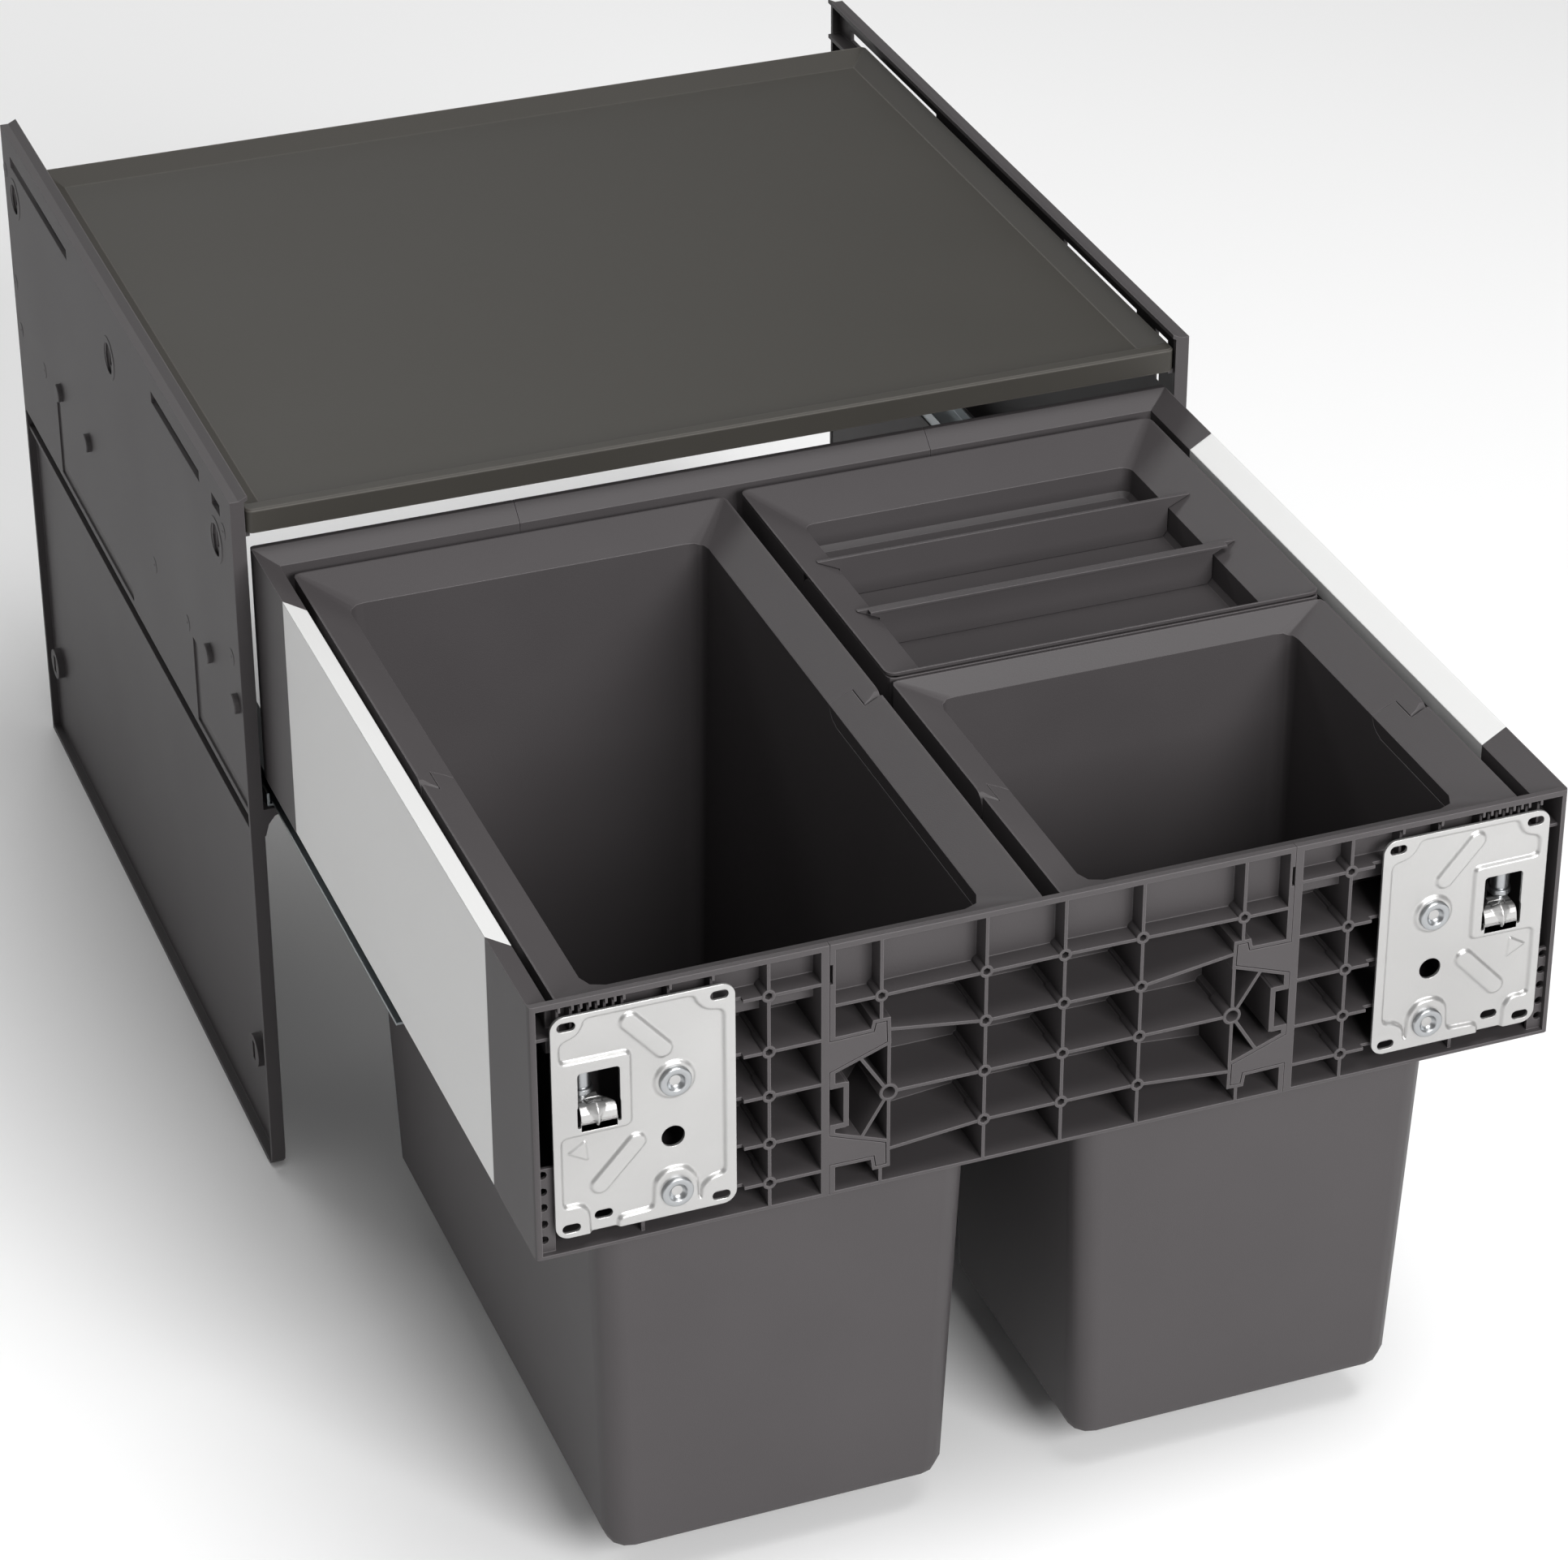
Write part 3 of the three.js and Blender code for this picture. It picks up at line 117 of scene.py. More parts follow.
scene.view_settings.view_transform = "Standard"
floor_corners = [(-1, -1), (1, -1), (1, 1), (-1, 1)]
floor_mesh = bpy.data.meshes.new("floor")
floor_mesh.from_pydata([(x * FLOOR_REACH, y * FLOOR_REACH, 0) for x, y in floor_corners], [], [(0, 1, 2, 3)])
floor_paint = bpy.data.materials.new("pale_floor")
floor_paint.use_nodes = True
floor_shader = floor_paint.node_tree.nodes["Principled BSDF"]
floor_shader.inputs["Base Color"].default_value = (*FLOOR_COLOUR, 1)
floor_shader.inputs["Roughness"].default_value = FLOOR_ROUGHNESS
floor_mesh.materials.append(floor_paint)
floor = link(bpy.data.objects.new("floor", floor_mesh))
print("floor", 2 * FLOOR_REACH, "m across")

# %% Sky and lamps
SKY_COLOUR = (1, 1, 1)
SKY_STRENGTH = 0.27
sky = bpy.data.worlds.new("sky")
sky.use_nodes = True
sky.node_tree.nodes["Background"].inputs["Color"].default_value = (*SKY_COLOUR, 1)
sky.node_tree.nodes["Background"].inputs["Strength"].default_value = SKY_STRENGTH
scene.world = sky


def lamp(name, place, target, size, power):
    """A rectangular lamp at one point that faces another."""
    data = bpy.data.lights.new(name, "AREA")
    data.shape = "RECTANGLE"
    data.size, data.size_y = size
    data.energy = power
    obj = link(bpy.data.objects.new(name, data))
    place = Vector(place)
    obj.location = place
    obj.rotation_mode = "QUATERNION"
    obj.rotation_quaternion = (Vector(target) - place).to_track_quat("-Z", "Y")
    return obj


lamp("front", place=(0.55, -3.3, 1.9), target=(0, -0.3, 0.25), size=(1.8, 1.2), power=125)
lamp("top", place=(0.5, -0.9, 3.4), target=(0, -0.1, 0.3), size=(2.0, 1.6), power=62)
lamp("edge", place=(-0.4, 2.8, 2.6), target=(0, 0.1, 0.3), size=(3.0, 0.7), power=30)

# %% [markdown]
# ## Finishes
#
# Every finish shares two effects. Round edges: real moulded and pressed edges have a small radius that
# catches light, and the Bevel node gives that to the shading of any mesh, without one more face. Grain: a
# fine pattern of bumps, from the eroded steel mould for plastic and from the powder for painted sheet. Both
# effects, and a broad cloud of tone, are a node group made once. Every material places it with its own
# values, and keeps its own Principled shader.

# %% Helpers for shader nodes
def wire(tree, *pairs):
    """Join sockets: each pair is (node, output name) and (node, input name)."""
    for (a, out), (b, into) in pairs:
        tree.links.new(a.outputs[out], b.inputs[into])


def new_node(tree, kind, **settings):
    """A shader node, with values for its inputs by name and for its own settings."""
    node = tree.nodes.new("ShaderNode" + kind)
    for key, value in settings.items():
        if key in node.inputs:
            node.inputs[key].default_value = value
        else:
            setattr(node, key, value)
    return node


print("helpers:", wire.__name__, new_node.__name__)

# %% Grain, cloud and round edges as one node group
PLAIN_LOOK = {
    "metallic": 0.0,
    "gloss": 0.5,  # the shader's specular level
    "fineness": 1600,  # bumps of the grain per metre
    "depth": 0.15,  # strength of the bumps
    "edge": 0.0006,  # radius of round edges, in metres
    "cloud": 0.2,  # how far the broad noise takes the colour to the light one
    "wear": 0.35,  # how far an edge does: a painted highlight along the edges
}
BUMP_HEIGHT = 0.0004  # metres
CLOUD_SCALE = 9.0  # clouds per metre
EDGE_STARTS, EDGE_FULL = 0.995, 0.80  # cosine between a face's own normal and the rounded one


def make_grain():
    """Fine bumps and round edges: the edge mask is high where the rounded normal leaves the face's own."""
    tree = bpy.data.node_groups.new("moulded_grain", "ShaderNodeTree")
    inputs = {"Fineness": "fineness", "Depth": "depth", "Edge radius": "edge"}
    for label, key in inputs.items():
        socket = tree.interface.new_socket(name=label, in_out="INPUT", socket_type="NodeSocketFloat")
        socket.default_value = PLAIN_LOOK[key]
    for label, kind in {"Normal": "Vector", "Tone": "Float", "Edge": "Float"}.items():
        tree.interface.new_socket(name=label, in_out="OUTPUT", socket_type="NodeSocket" + kind)
    start = tree.nodes.new("NodeGroupInput")
    end = tree.nodes.new("NodeGroupOutput")
    place = new_node(tree, "TexCoord")
    fine = new_node(tree, "TexNoise", Detail=2.0, Roughness=0.6)
    broad = new_node(tree, "TexNoise", Scale=CLOUD_SCALE, Detail=3.0)
    rounded = new_node(tree, "Bevel", samples=4)
    bump = new_node(tree, "Bump", Distance=BUMP_HEIGHT)
    flat = new_node(tree, "NewGeometry")
    turn = new_node(tree, "VectorMath", operation="DOT_PRODUCT")
    mask = new_node(tree, "MapRange", **{"From Min": EDGE_STARTS, "From Max": EDGE_FULL})
    wire(
        tree,
        ((place, "Object"), (fine, "Vector")),
        ((place, "Object"), (broad, "Vector")),
        ((start, "Fineness"), (fine, "Scale")),
        ((start, "Edge radius"), (rounded, "Radius")),
        ((start, "Depth"), (bump, "Strength")),
        ((fine, 0), (bump, "Height")),
        ((rounded, "Normal"), (bump, "Normal")),
        ((bump, "Normal"), (end, "Normal")),
        ((broad, 0), (end, "Tone")),
        ((flat, "Normal"), (turn, 0)),
        ((rounded, "Normal"), (turn, 1)),
        ((turn, "Value"), (mask, "Value")),
        ((mask, "Result"), (end, "Edge")),
    )
    return tree


GRAIN = make_grain()
print("grain group outputs:", [s.name for s in GRAIN.interface.items_tree if s.in_out == "OUTPUT"])

# %% A finish: grain, tone and a painted edge highlight over one colour
ROUGHNESS_SPREAD = 0.05  # either way, with the clouds


def finish_material(name, colour, light, roughness, **look):
    """Base colour: colour, taken part of the way to light where the broad noise is high, or where an edge is
    near as a painted highlight.
    """
    look = PLAIN_LOOK | look
    material = bpy.data.materials.new(name)
    material.use_nodes = True
    tree = material.node_tree
    shader = tree.nodes["Principled BSDF"]
    shader.inputs["Metallic"].default_value = look["metallic"]
    shader.inputs["Specular IOR Level"].default_value = look["gloss"]
    grain = tree.nodes.new("ShaderNodeGroup")
    grain.node_tree = GRAIN
    grain.inputs["Fineness"].default_value = look["fineness"]
    grain.inputs["Depth"].default_value = look["depth"]
    grain.inputs["Edge radius"].default_value = look["edge"]
    tone = new_node(tree, "MapRange", **{"To Max": look["cloud"]})
    # The edge mask takes the colour toward the light one: a painted highlight where a round edge would catch
    # light.
    tone_and_painted_highlight = new_node(tree, "Math", operation="MULTIPLY_ADD")
    tone_and_painted_highlight.inputs[1].default_value = look["wear"]
    mix = new_node(tree, "Mix", data_type="RGBA")
    mix.inputs["A"].default_value = (*colour, 1)
    mix.inputs["B"].default_value = (*light, 1)
    spread = {"To Min": roughness - ROUGHNESS_SPREAD, "To Max": roughness + ROUGHNESS_SPREAD}
    rough = new_node(tree, "MapRange", **spread)
    wire(
        tree,
        ((grain, "Tone"), (tone, "Value")),
        ((grain, "Edge"), (tone_and_painted_highlight, 0)),
        ((tone, "Result"), (tone_and_painted_highlight, 2)),
        ((tone_and_painted_highlight, 0), (mix, "Factor")),
        ((mix, "Result"), (shader, "Base Color")),
        ((grain, "Tone"), (rough, "Value")),
        ((rough, "Result"), (shader, "Roughness")),
        ((grain, "Normal"), (shader, "Normal")),
    )
    return material


print("a plain finish:", PLAIN_LOOK)

# %% The six finishes of this insert, with colours as they look on a screen
def linear(hex_colour):
    """A screen colour such as 4d4a4b as linear red, green and blue, by the sRGB curve."""
    parts = np.array([int(hex_colour[i : i + 2], 16) for i in (0, 2, 4)]) / 255
    return tuple(np.where(parts <= 0.04045, parts / 12.92, ((parts + 0.055) / 1.055) ** 2.4))


LOOKS = {  # slot: (colour, light colour for the clouds and for the painted edge highlight, roughness, what differs from the plain look)
    "dark_plastic": ("3d3a3b", "888385", 0.52, dict(gloss=0.3, cloud=0.08, wear=0.5)),
    "cover_sheet": (
        "34322e", "8a8580", 0.5, dict(gloss=0.25, fineness=900, depth=0.08, edge=0.0014, wear=0.6, cloud=0.04)
    ),
    "pale_profile": ("d6d6d5", "f2f2f2", 0.38, dict(fineness=900, depth=0.05, edge=0.001)),
    "zinc_sheet": (
        "a09f9e", "eeeeed", 0.36, dict(metallic=0.75, fineness=260, depth=0.3, cloud=0.3, wear=0.2)
    ),
    "slide_steel": ("8f9496", "d0d4d6", 0.34, dict(metallic=1.0, fineness=700, depth=0.06)),
    "screw_steel": ("9b9d9f", "d4d6d7", 0.33, dict(metallic=1.0, fineness=700, depth=0.06)),
}
FINISHES = {
    slot: finish_material(slot, linear(colour), linear(light), roughness, **look)
    for slot, (colour, light, roughness, look) in LOOKS.items()
}
for name, node in nodes.items():
    node.data.materials.clear()
    node.data.materials.append(FINISHES[slot_of_node[name]])
print("finishes:", list(FINISHES))

# %% [markdown]
# ## Moulded pieces
#
# The bins, the tray and the drawer's frame are injection moulded, and the cover and rails are folded sheet.
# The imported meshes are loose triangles, which can only be shaded flat. A copy whose corners are merged
# shows curved walls as curves: edges that turn by more than a set angle stay sharp, the others are shaded
# smooth, and the normals are weighted by area, so that large flat walls stay flat beside small round ones.
# A Subdivision modifier would round them as well, but it would also pull every outline inward.

# %% Merged copies of the moulded pieces
SMOOTH_BELOW = math.radians(31)
CREASE = math.radians(8)  # level edges of the rims turn by little more than this, and stay crisp
RIM_LEVEL = 0.36  # height above which they lie
LEVEL_SLOPE = 0.02  # an edge counts as level if it rises by less than this share of its length
PACKED_CORNER = 2e-6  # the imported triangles' corners lie closer together than this


def finish_piece(mesh, name, body, slot):
    """A new piece from a mesh, with its finish, riding on its body."""
    mesh.materials.clear()
    mesh.materials.append(FINISHES[slot])
    piece = link(bpy.data.objects.new(name, mesh))
    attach(piece, body)
    return piece


def replace_node(name, ending, mesh):
    """A piece that is shown in a node's place, with the node's body and slot."""
    piece = finish_piece(mesh, name + ending, body_of_node[name], slot_of_node[name])
    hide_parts(name)
    return piece


def stays_smooth(edge):
    """Whether the two faces at an edge are shaded as one surface."""
    a, b = (vertex.co for vertex in edge.verts)
    level_rim = abs(a.z - b.z) < LEVEL_SLOPE * (a - b).length and a.z > RIM_LEVEL
    return edge.calc_face_angle(math.pi) < (CREASE if level_rim else SMOOTH_BELOW)


def smooth_copy(name):
    """The node's own shape, with shared corners and weighted normals."""
    mesh = nodes[name].data.copy()
    merged = bmesh.new()
    merged.from_mesh(mesh)
    bmesh.ops.remove_doubles(merged, verts=merged.verts, dist=PACKED_CORNER)
    for edge in merged.edges:
        edge.smooth = stays_smooth(edge)
    for face in merged.faces:
        face.smooth = True
    merged.to_mesh(mesh)
    merged.free()
    piece = replace_node(name, "_moulded", mesh)
    weigh = piece.modifiers.new("weighted normals", "WEIGHTED_NORMAL")
    weigh.keep_sharp = True
    return piece


ROUND_SHAPES = ("bin", "tray", "section", "side_panel", "divider", "cabinet_rail")
copies = [smooth_copy(n) for n in nodes if any(word in n for word in ROUND_SHAPES)]
print(len(copies), "moulded and folded pieces,", sum(len(c.data.polygons) for c in copies), "faces")

# %% [markdown]
# ## Surfaces worked out with numpy
#
# The pieces from here on are computed: a grid of points, where each row and column is one step of two
# parameters, turned into faces between neighbouring points. Modelling by hand would give the same shapes,
# but a formula can be checked against a drawing and changed by one value.

# %% Grids to meshes
SHARP_FROM = math.radians(38)
SAME_POINT = 1e-6


def mesh_from(name, parts):
    """One mesh from several (points, faces) arrays. Points that fall together are merged, so poles close."""
    offset, points, faces = 0, [], []
    for vertices, quads in parts:
        points.append(vertices.reshape(-1, 3))
        faces.append(quads + offset)
        offset += len(points[-1])
    mesh = bpy.data.meshes.new(name)
    mesh.from_pydata(np.concatenate(points).tolist(), [], np.concatenate(faces).tolist())
    merged = bmesh.new()
    merged.from_mesh(mesh)
    bmesh.ops.remove_doubles(merged, verts=merged.verts, dist=SAME_POINT)
    merged.to_mesh(mesh)
    merged.free()
    mesh.shade_smooth()
    mesh.set_sharp_from_angle(angle=SHARP_FROM)
    return mesh


def grid_faces(rows, columns, loop=False):
    """Faces between neighbours of a grid. With loop, the last column joins the first."""
    r = np.arange(rows - 1)[:, None] * columns
    c = np.arange(columns if loop else columns - 1)
    d = (c + 1) % columns
    return np.stack([r + c, r + d, r + columns + d, r + columns + c], -1).reshape(-1, 4)


print("a grid of 3 x 4 points has", len(grid_faces(3, 4)), "faces")

# %% Turned shapes
NOT_ALONG_AN_AXIS = (0.3, 0.5, 0.8)  # any direction that no turned piece's axis has


def turned(profile, centre, axis, sides=48):
    """A turned shape: each (radius, height) of the profile swept once round an axis through the centre.

    Point = centre + height * axis + radius * (cos a * side + sin a * up), for a from 0 to a full turn. The
    faces look outward where the profile's outer wall runs toward greater height.
    """
    profile = np.asarray(profile, float) * MM
    axis = np.asarray(axis, float)
    side = np.cross(axis, NOT_ALONG_AN_AXIS)
    side /= np.linalg.norm(side)
    up = np.cross(axis, side)
    a = np.linspace(0, 2 * np.pi, sides, endpoint=False)
    ring = np.cos(a)[:, None] * side + np.sin(a)[:, None] * up
    points = profile[:, 0, None, None] * ring + (profile[:, 1, None] * axis)[:, None] + np.asarray(centre)
    return points, grid_faces(len(profile), sides, loop=True)


print("a turned cone has", len(turned([(0, 0), (1, 0), (0, 1)], (0, 0, 0), (0, 0, 1))[1]), "faces")

# %% [markdown]
# ## Fixing plates
#
# Each plate is pressed from zinc-plated sheet. Its middle lies lower than its border, which keeps the corners
# and the window's surround at the front, and two long pads, an arrow and the upper screw's seat rise from
# the middle. A displacement map would only bend the shading or need a picture. Here the relief is a height
# over the plate's plane: the distance to an outline, eased by a smooth step, so the metal is really bent.

# %% Distances to outlines
LEAST_LENGTH = 1e-12  # keeps a division by an edge of no length from failing


def rounded_outline(points, radius, steps=5):
    """An outline whose corners are replaced by curves that leave each edge a radius before the corner."""
    p = np.asarray(points, float)

    def toward(neighbour):
        edge = neighbour - p
        return p + edge * np.minimum(radius / np.linalg.norm(edge, axis=1), 0.45)[:, None]

    start, end = toward(np.roll(p, 1, 0)), toward(np.roll(p, -1, 0))
    t = np.linspace(0, 1, steps)[None, :, None]
    curve = (1 - t) ** 2 * start[:, None] + 2 * t * (1 - t) * p[:, None] + t**2 * end[:, None]
    return curve.reshape(-1, 2)


def distance_to(outline, u, v):
    """Signed distance to a closed outline, below zero inside it: nearest edge, with the sign by crossings."""
    best = np.full(u.shape, 1e9)
    inside = np.zeros(u.shape, bool)
    for (a, b), (c, d) in zip(outline, np.roll(outline, -1, 0)):
        length = max((c - a) ** 2 + (d - b) ** 2, LEAST_LENGTH)
        t = np.clip(((u - a) * (c - a) + (v - b) * (d - b)) / length, 0, 1)
        best = np.minimum(best, np.hypot(u - a - t * (c - a), v - b - t * (d - b)))
        if b != d:
            crosses = (b > v) != (d > v)
            inside ^= crosses & (u < (c - a) * (v - b) / (d - b) + a)
    return np.where(inside, -best, best)


def distance_to_pad(ends, radius, u, v):
    """Signed distance to a strip with round ends."""
    (a, b), (c, d) = ends
    t = np.clip(((u - a) * (c - a) + (v - b) * (d - b)) / ((c - a) ** 2 + (d - b) ** 2), 0, 1)
    return np.hypot(u - a - t * (c - a), v - b - t * (d - b)) - radius


def distance_to_box(middle, half, radius, u, v):
    """Signed distance to a rectangle with round corners."""
    x, y = np.abs(u - middle[0]) - half[0] + radius, np.abs(v - middle[1]) - half[1] + radius
    return np.hypot(np.maximum(x, 0), np.maximum(y, 0)) + np.minimum(np.maximum(x, y), 0) - radius


def rise(distance, run):
    """1 well inside, 0 well outside, with a smooth step as wide as the run between them."""
    t = np.clip(0.5 - distance / run, 0, 1)
    return t * t * (3 - 2 * t)


print("half way up a step:", rise(0, 1))

# %% The plate's outlines, in millimetres inward from its outer edge and down from its top
PLATE_HALF = (45.5, 62.5)
PLATE_CORNER = 7
SHEET = 1.6
EMBOSS = 2.0  # the border stands this far above the low field
PAD_RISE = 1.5  # and the pads and the upper screw's seat this far
ARROW_RISE = 0.9
PRESS_RUN = 2.2  # width of the sloping step round the field and the pads
SEAT_RUN = 2.4
ARROW_RUN = 1.4
LOW_FIELD = rounded_outline(
    [
        (17, 3.4), (70.6, 3.4), (72.2, 8), (76.5, 12.6), (85.6, 14.4), (85.6, 107.4), (78.5, 108.4),
        (73.6, 112.5), (73.3, 118.6), (71.9, 118.6), (71.4, 106), (66, 99), (56, 98.4), (50, 103.6),
        (49.2, 118.9), (31.6, 119.6), (31.2, 128), (17.8, 128), (17.2, 112.5), (13, 107.6), (4.2, 108.2),
        (4.2, 68.6), (39.2, 68.2), (39.2, 26.6), (4.2, 26.2), (4.2, 15), (12.6, 12.4), (15.6, 8),
    ],
    3.5,
)
ARROW = rounded_outline([(16.4, 72.4), (7.4, 78), (17.4, 83.8)], 0.8)
PADS = [((39.1, 10.7), (55.4, 29.7)), ((23.1, 99.2), (41.4, 79.2))]
PAD_RADIUS = 4.6
SEAT, SEAT_RADIUS = (60.8, 48.4), 10  # round the upper screw
WINDOW = dict(middle=(23.1, 46.9), half=(10.5, 13.9), radius=2)
TONGUE_SLITS = [dict(middle=(x, 58), half=(0.9, 6), radius=0.8) for x in (13.1, 33)]
HOLE, HOLE_RADIUS = (60, 81.1), 5.9
SLOTS = [(7.8, 5.6), (83.2, 5.6), (83.2, 119.8), (7.8, 119.8), (24.6, 116.8)]
SLOT_REACH, SLOT_RADIUS = 2.1, 2.5


def plate_height(u, v):
    """Border above the low field, with pads, arrow and the upper screw's seat raised in the field: the
    highest of them counts."""
    height = EMBOSS * (1 - rise(distance_to(LOW_FIELD, u, v), PRESS_RUN))
    for ends in PADS:
        height = np.maximum(height, PAD_RISE * rise(distance_to_pad(ends, PAD_RADIUS, u, v), PRESS_RUN))
    seat = np.hypot(u - SEAT[0], v - SEAT[1]) - SEAT_RADIUS
    height = np.maximum(height, PAD_RISE * rise(seat, SEAT_RUN))
    return np.maximum(height, ARROW_RISE * rise(distance_to(ARROW, u, v), ARROW_RUN))


def plate_sheet(u, v):
    """Signed distance to the sheet's edges, above zero in the metal: outline, less window, hole and slots."""
    metal = -distance_to_box(PLATE_HALF, PLATE_HALF, PLATE_CORNER, u, v)
    openings = [distance_to_box(u=u, v=v, **shape) for shape in (WINDOW, *TONGUE_SLITS)]
    openings.append(np.hypot(u - HOLE[0], v - HOLE[1]) - HOLE_RADIUS)
    for a, b in SLOTS:
        openings.append(distance_to_pad(((a - SLOT_REACH, b), (a + SLOT_REACH, b)), SLOT_RADIUS, u, v))
    return np.minimum(metal, np.minimum.reduce(openings))


print("low field outline:", len(LOW_FIELD), "points")

# %% From the relief to a grid that ends at the metal's edges
STEP = 0.5  # between the grid's points, in millimetres
PROBE = 0.02  # to either side, for the slope of the distance
TRIM_ROUNDS = 3
INDEX_STRIDE = 10**7  # more than any count of points


def trimmed_grid():
    """A square grid over the plate. Points outside the metal but next to it are moved onto its edge,
    against the slope of the distance; faces with no point in the metal are dropped."""
    across, down = (np.arange(-STEP, 2 * half + 1.5 * STEP, STEP) for half in PLATE_HALF)
    v, u = np.meshgrid(down, across, indexing="ij")
    rows, columns = u.shape
    inside = plate_sheet(u, v) > 0
    quads = grid_faces(rows, columns)
    quads = quads[inside.ravel()[quads].any(1)]
    for _ in range(TRIM_ROUNDS):
        d = plate_sheet(u, v)
        slope_u = (plate_sheet(u + PROBE, v) - plate_sheet(u - PROBE, v)) / (2 * PROBE)
        slope_v = (plate_sheet(u, v + PROBE) - plate_sheet(u, v - PROBE)) / (2 * PROBE)
        u = np.where(inside, u, u - d * slope_u)
        v = np.where(inside, v, v - d * slope_v)
    return u.ravel(), v.ravel(), quads


def edge_of(quads):
    """The directed sides of faces that no other face shares."""
    sides = np.concatenate([quads[:, [i, (i + 1) % 4]] for i in range(4)])
    key = np.sort(sides, 1)
    _, first, count = np.unique(key[:, 0] * INDEX_STRIDE + key[:, 1], return_index=True, return_counts=True)
    return sides[first[count == 1]]


def closed_pair(front, back, quads):
    """A closed body between two sheets of points that share their faces, with a strip round the rims."""
    rim, count = edge_of(quads), len(front)
    strip = np.concatenate([rim[:, ::-1], rim + count], 1)
    return np.concatenate([front, back]), np.concatenate([quads, quads[:, ::-1] + count, strip])


GRID_U, GRID_V, GRID_QUADS = trimmed_grid()
GRID_HEIGHT = plate_height(GRID_U, GRID_V)
print("plate:", len(GRID_QUADS), "faces on its front")

# %% The tongue in the window: a flange below, bent back into a level shelf under the adjuster's collar
TONGUE_LINE = np.array(
    [  # (depth behind the border's face, distance below the plate's top)
        (0, 66), (0, 64.2), (0, 62), (0.1, 60), (0.5, 57.6), (1.6, 55.4), (3.4, 54.3), (6, 54), (9, 53.9),
        (12.6, 53.8),
    ]
)
TONGUE_SHEET = 1.2
TONGUE_LEFT = 14.1
TONGUE_RIGHT = ([2.5, 9.5], [31.9, 25.5])  # the right side leans in between these depths
BEAD_MIDDLE = 22.3
BEAD_RISE = 2.2
BEAD_WIDTH = ([3, 11], [0.3, 4.6])  # at these distances along the line
BEAD_FOOT, BEAD_FOOT_RUN = 3, 2
BEAD_END, BEAD_END_RUN = 15, 5


def tongue_surface(along_steps=48, across_steps=41):
    """Across: u between sides that lean together toward the back. Along: the bent line, by its length.
    A pointed bead stands out square to the line over the bend: height falls off from its middle line,
    whose width grows from nothing at the flange's foot, and fades out along the shelf."""
    reach = np.concatenate([[0], np.cumsum(np.hypot(*np.diff(TONGUE_LINE, axis=0).T))])
    along = np.linspace(0, reach[-1], along_steps)
    depth, down = (np.interp(along, reach, TONGUE_LINE[:, i]) for i in (0, 1))
    out = np.stack([np.gradient(down), -np.gradient(depth)])
    out /= np.hypot(*out)
    right = np.interp(depth, *TONGUE_RIGHT)
    u = TONGUE_LEFT + np.linspace(0, 1, across_steps)[None] * (right - TONGUE_LEFT)[:, None]
    width = np.interp(along, *BEAD_WIDTH)
    height = BEAD_RISE * rise(BEAD_FOOT - along, BEAD_FOOT_RUN) * rise(along - BEAD_END, BEAD_END_RUN)
    bead = height[:, None] * np.clip(1 - np.abs(u - BEAD_MIDDLE) / width[:, None], 0, 1)
    return u, down[:, None] + bead * out[1][:, None], depth[:, None] + bead * out[0][:, None]


TONGUE_U, TONGUE_V, TONGUE_DEPTH = tongue_surface()
TONGUE_QUADS = grid_faces(*TONGUE_U.shape)
print("tongue:", len(TONGUE_QUADS), "faces on its front")

# %% Both plates
FIELD_BEHIND = 1.4 * MM  # the low field's plane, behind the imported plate's beads


def plate_piece(side):
    """Left: x grows inward from the outer edge. Right: the mirror image, with its faces turned round."""
    name = "fixing_plate_" + side
    low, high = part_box(name)
    outer = low[0] if side == "left" else high[0]
    face = low[1] + FIELD_BEHIND

    def place(u, v, depth):
        x = outer - SIDES[side] * u * MM
        return np.stack([x, face + depth * MM, high[2] - v * MM], -1).reshape(-1, 3)

    def sheet(u, v, depth, thickness, quads):
        points, faces = closed_pair(place(u, v, depth), place(u, v, depth + thickness), quads)
        return points, faces[:, ::-1] if side == "left" else faces

    parts = [
        sheet(GRID_U, GRID_V, -GRID_HEIGHT, SHEET, GRID_QUADS),
        sheet(TONGUE_U, TONGUE_V, TONGUE_DEPTH - EMBOSS, TONGUE_SHEET, TONGUE_QUADS),
    ]
    return replace_node(name, "_pressed", mesh_from(name + "_pressed", parts))


plates = [plate_piece(side) for side in SIDES]
print("plates:", [len(p.data.polygons) for p in plates], "faces")

# %% [markdown]
# ## Screws and height adjusters
#
# Both are turned on a lathe, so a profile swept round their axis is their true shape. The screw's head has a
# flat ring round a bowl, with the tool's hole at the bottom of it. The adjuster is a stud with a collar,
# which rests on the plate's tongue.

# %% Screws
SCREW_PROFILE = [  # (radius, depth behind the head's foot): hole, bowl, flat ring, head's side, shank
    (0, 3.4), (1.9, 3.4), (1.9, 0.6), (2.4, 0.2), (3.2, -0.25), (3.9, -0.9), (4.4, -1.6), (4.7, -2.05),
    (5.0, -2.2), (7.2, -2.2), (7.7, -2.0), (8.0, -1.5), (8.0, 0.1), (3, 0.1), (3, 17), (0, 17),
]
HEAD_PROUD = 2.2
SCREW_LIFTS = {"upper": PAD_RISE, "lower": EMBOSS}  # each head seats on its raised part of the plate


def turned_node(name, profile, centre, axis, sides):
    """A turned piece that is shown in a node's place."""
    mesh = mesh_from(name + "_turned", [turned(profile, centre, axis, sides)])
    return replace_node(name, "_turned", mesh)


for height, lift in SCREW_LIFTS.items():
    for side in SIDES:
        name = f"plate_screw_{height}_{side}"
        low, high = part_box(name)
        centre = ((low[0] + high[0]) / 2, low[1] + (HEAD_PROUD - lift) * MM, (low[2] + high[2]) / 2)
        turned_node(name, SCREW_PROFILE, centre, axis=(0, 1, 0), sides=48)
print("screw heads are", 2 * SCREW_PROFILE[-4][0], "mm across")

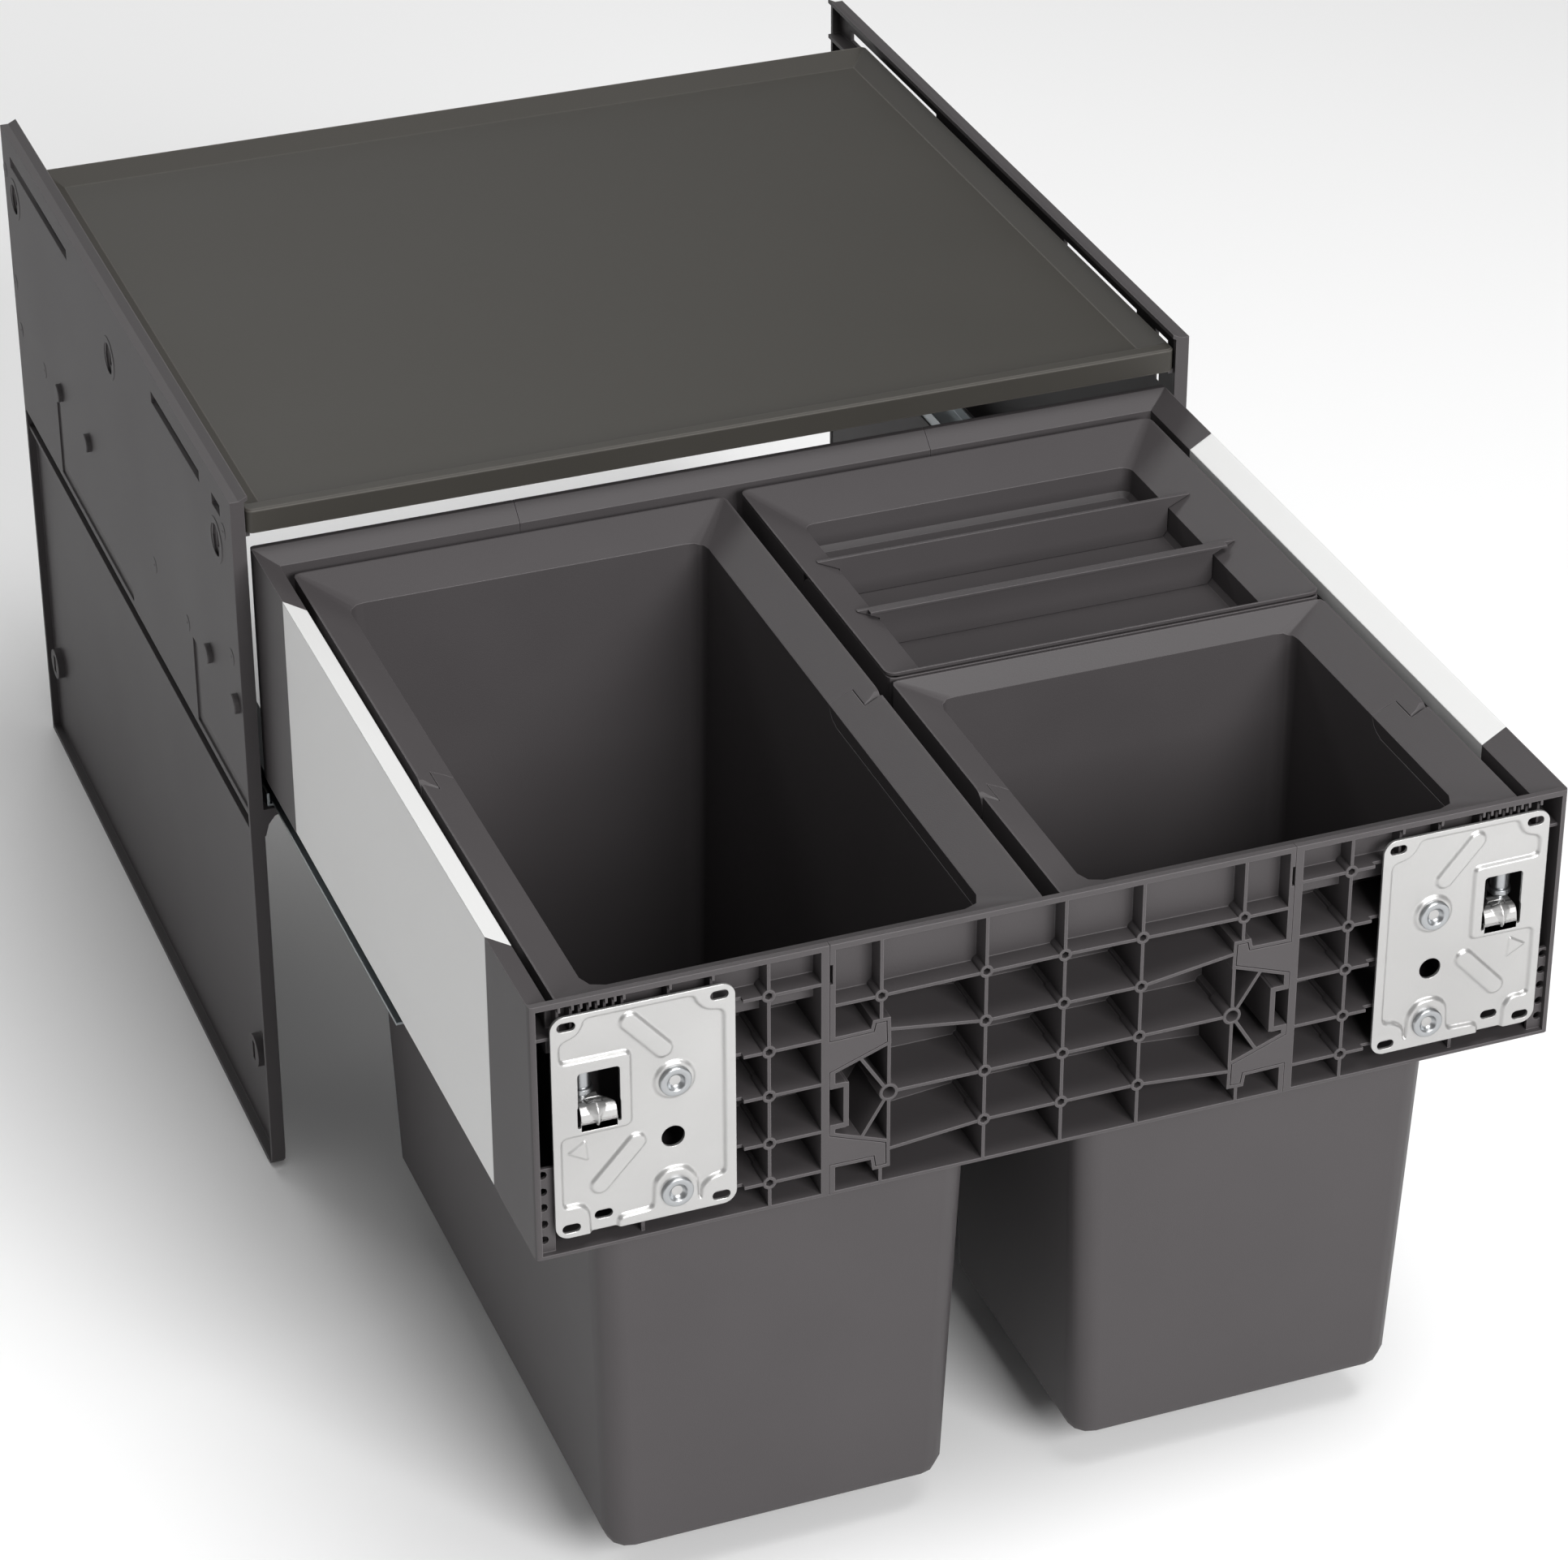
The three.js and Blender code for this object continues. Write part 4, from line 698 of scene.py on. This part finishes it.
# %% Adjusters
COLLAR_BELOW_PLATE_TOP = 51
STUD_RADIUS = 4.8
COLLAR_PROFILE = [  # (radius, height above the collar's underside): foot, neck, collar, groove
    (0, -4), (2.9, -4), (3.2, -3.7), (3.2, -1.6), (2, -1.4), (2, 0), (5.3, 0), (5.7, 0.4), (5.7, 2.8),
    (5.3, 3.2), (4.3, 3.3), (4.3, 3.8), (STUD_RADIUS, 4.1),
]
for side in SIDES:
    name = "height_adjuster_" + side
    low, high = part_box(name)
    plate_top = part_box("fixing_plate_" + side)[1][2]
    top = (high[2] - plate_top) / MM + COLLAR_BELOW_PLATE_TOP
    centre = ((low[0] + high[0]) / 2, (low[1] + high[1]) / 2, high[2] - top * MM)
    profile = COLLAR_PROFILE + [(STUD_RADIUS, top), (0, top)]
    turned_node(name, profile, centre, axis=(0, 0, 1), sides=40)

# %% [markdown]
# ## Bosses of the drawer's front
#
# The ribs of the front meet in screw bosses: short tubes that stand a little proud of the ribs' edges. The
# packed ones have few sides, so a turned ring is set over each, and its rim catches light all the way round.

# %% Bosses, as (distance from the middle, height) in millimetres
BORE_DEPTH, WALL_DEPTH = 14, 16  # how far back from its rim a ring's two walls run


def boss_ring(bore, wall, edge):
    """Forward along the bore, round the rim, back along the outside. The hidden rear end is left open."""
    outer = bore + wall
    inside = [(bore, BORE_DEPTH), (bore, 0.3), (bore + 0.2, 0)]
    return inside + [(outer - edge, 0), (outer, edge), (outer, WALL_DEPTH)]


BOSS_RING = boss_ring(bore=2.0, wall=1.5, edge=0.3)
LARGE_RING = boss_ring(bore=3.2, wall=1.7, edge=0.4)
MIDDLE_BOSSES = [(0, z) for z in (367.7, 340.1, 311, 282.5)]
PAIRED_BOSSES = [(94.7, 367.1), (40.8, 368), (40.8, 339.9), (40.8, 310.9), (40.8, 282.4)]
PAIRED_BOSSES += [(151.7, z) for z in (380.4, 348.8, 323.5, 296.2, 273.3)]
LARGE_BOSS = (90.6, 310.8)
PROUD = 0.25 * MM

front_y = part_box("front_centre_section")[0][1] - PROUD
rings = [(x, z, BOSS_RING) for x, z in MIDDLE_BOSSES]
for sign in SIDES.values():
    rings += [(sign * x, z, BOSS_RING) for x, z in PAIRED_BOSSES]
    rings.append((sign * LARGE_BOSS[0], LARGE_BOSS[1], LARGE_RING))
parts = [turned(profile, (x * MM, front_y, z * MM), (0, 1, 0), sides=32) for x, z, profile in rings]
boss_mesh = mesh_from("front_bosses", parts)
finish_piece(boss_mesh, "front_bosses", body_of_node["front_centre_section"], "dark_plastic")
print(len(rings), "bosses")

# %% [markdown]
# ## Drawer rails
#
# The moving part of each slide is a channel that opens downward. Its front end stays behind the drawer's
# front and its outer wall stands in from the drawer's side, where the profile hides it from above.

# %% Drawer rails
RAIL_SETBACK = 26 * MM
RAIL_INSET = 7 * MM
RAIL_SHEET = 1.4 * MM


def open_channel(low, high, sheet):
    """A channel open below: the outline runs round the outside, then back round the inside, and is swept
    along y. Its ends are closed by the two sides and the top, each a strip between outside and inside."""
    (x0, y0, z0), (x1, y1, z1) = low, high
    outside = [(x0, z0), (x0, z1), (x1, z1), (x1, z0)]
    inside = [(x0 + sheet, z0), (x0 + sheet, z1 - sheet), (x1 - sheet, z1 - sheet), (x1 - sheet, z0)]
    outline = np.array(outside + inside[::-1])
    points = np.array([[(x, y, z) for x, z in outline] for y in (y0, y1)]).reshape(-1, 3)
    i = np.arange(8)
    walls = np.stack([i, (i + 1) % 8, (i + 1) % 8 + 8, i + 8], -1)
    strips = np.stack([i[:3], 7 - i[:3], 6 - i[:3], i[:3] + 1], -1)
    return points, np.concatenate([walls, strips, strips[:, ::-1] + 8])


for side in SIDES:
    name = "drawer_rail_" + side
    low, high = (np.array(corner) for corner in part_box(name))
    low[1] += RAIL_SETBACK
    if side == "left":
        low[0] += RAIL_INSET
    else:
        high[0] -= RAIL_INSET
    replace_node(name, "_channel", mesh_from(name + "_channel", [open_channel(low, high, RAIL_SHEET)]))
print("drawer rails start", round(RAIL_SETBACK / MM), "mm behind the packed ones")

# %% [markdown]
# ## Marks on the panels' outer faces
#
# The panels carry round pads about their upper screw slots, faint round marks from the mould's ejector pins,
# and four short pegs a side that find holes in the unit's wall. All are turned shapes with their axes
# along x, pointing outward. Their feet lie a little inside the panel's face and are left open. The profiles
# run down their outer walls, so these faces look inward.

# %% Pads, ejector marks and pegs, as (distance behind the front edge, height) in millimetres
SLOT_PADS = [(35.4, 394.5), (273.3, 394.5), (511.9, 394.5)]
EJECTOR_MARKS = [
    (533, 406), (531, 329.5), (527, 298), (464, 298.5), (192, 299), (118, 299.5), (17, 331), (18, 408),
]
PEGS = [(67, 307), (11, 305), (347, 304), (419, 304)]
PAD_PROFILE = [(9.5, -0.2), (9.5, 0.35), (13.2, 0.35), (13.6, -0.2)]
MARK_PROFILE = [(0, 0.5), (0.7, 0.5), (0.8, 0.25), (4.7, 0.25), (5.1, -0.1)]
PEG_PROFILE = [(0, 3.2), (5.2, 3.2), (5.7, 2.7), (5.7, -0.3)]

for side, outward in SIDES.items():
    panel = "side_panel_" + side
    low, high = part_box(panel)
    wall = low[0] if side == "left" else high[0]
    parts = []
    for places, profile in ((SLOT_PADS, PAD_PROFILE), (EJECTOR_MARKS, MARK_PROFILE), (PEGS, PEG_PROFILE)):
        for y, z in places:
            parts.append(turned(profile, (wall, low[1] + y * MM, z * MM), (outward, 0, 0), sides=36))
    name = "panel_marks_" + side
    finish_piece(mesh_from(name, parts), name, body_of_node[panel], "dark_plastic")
    print(name, len(parts), "marks")
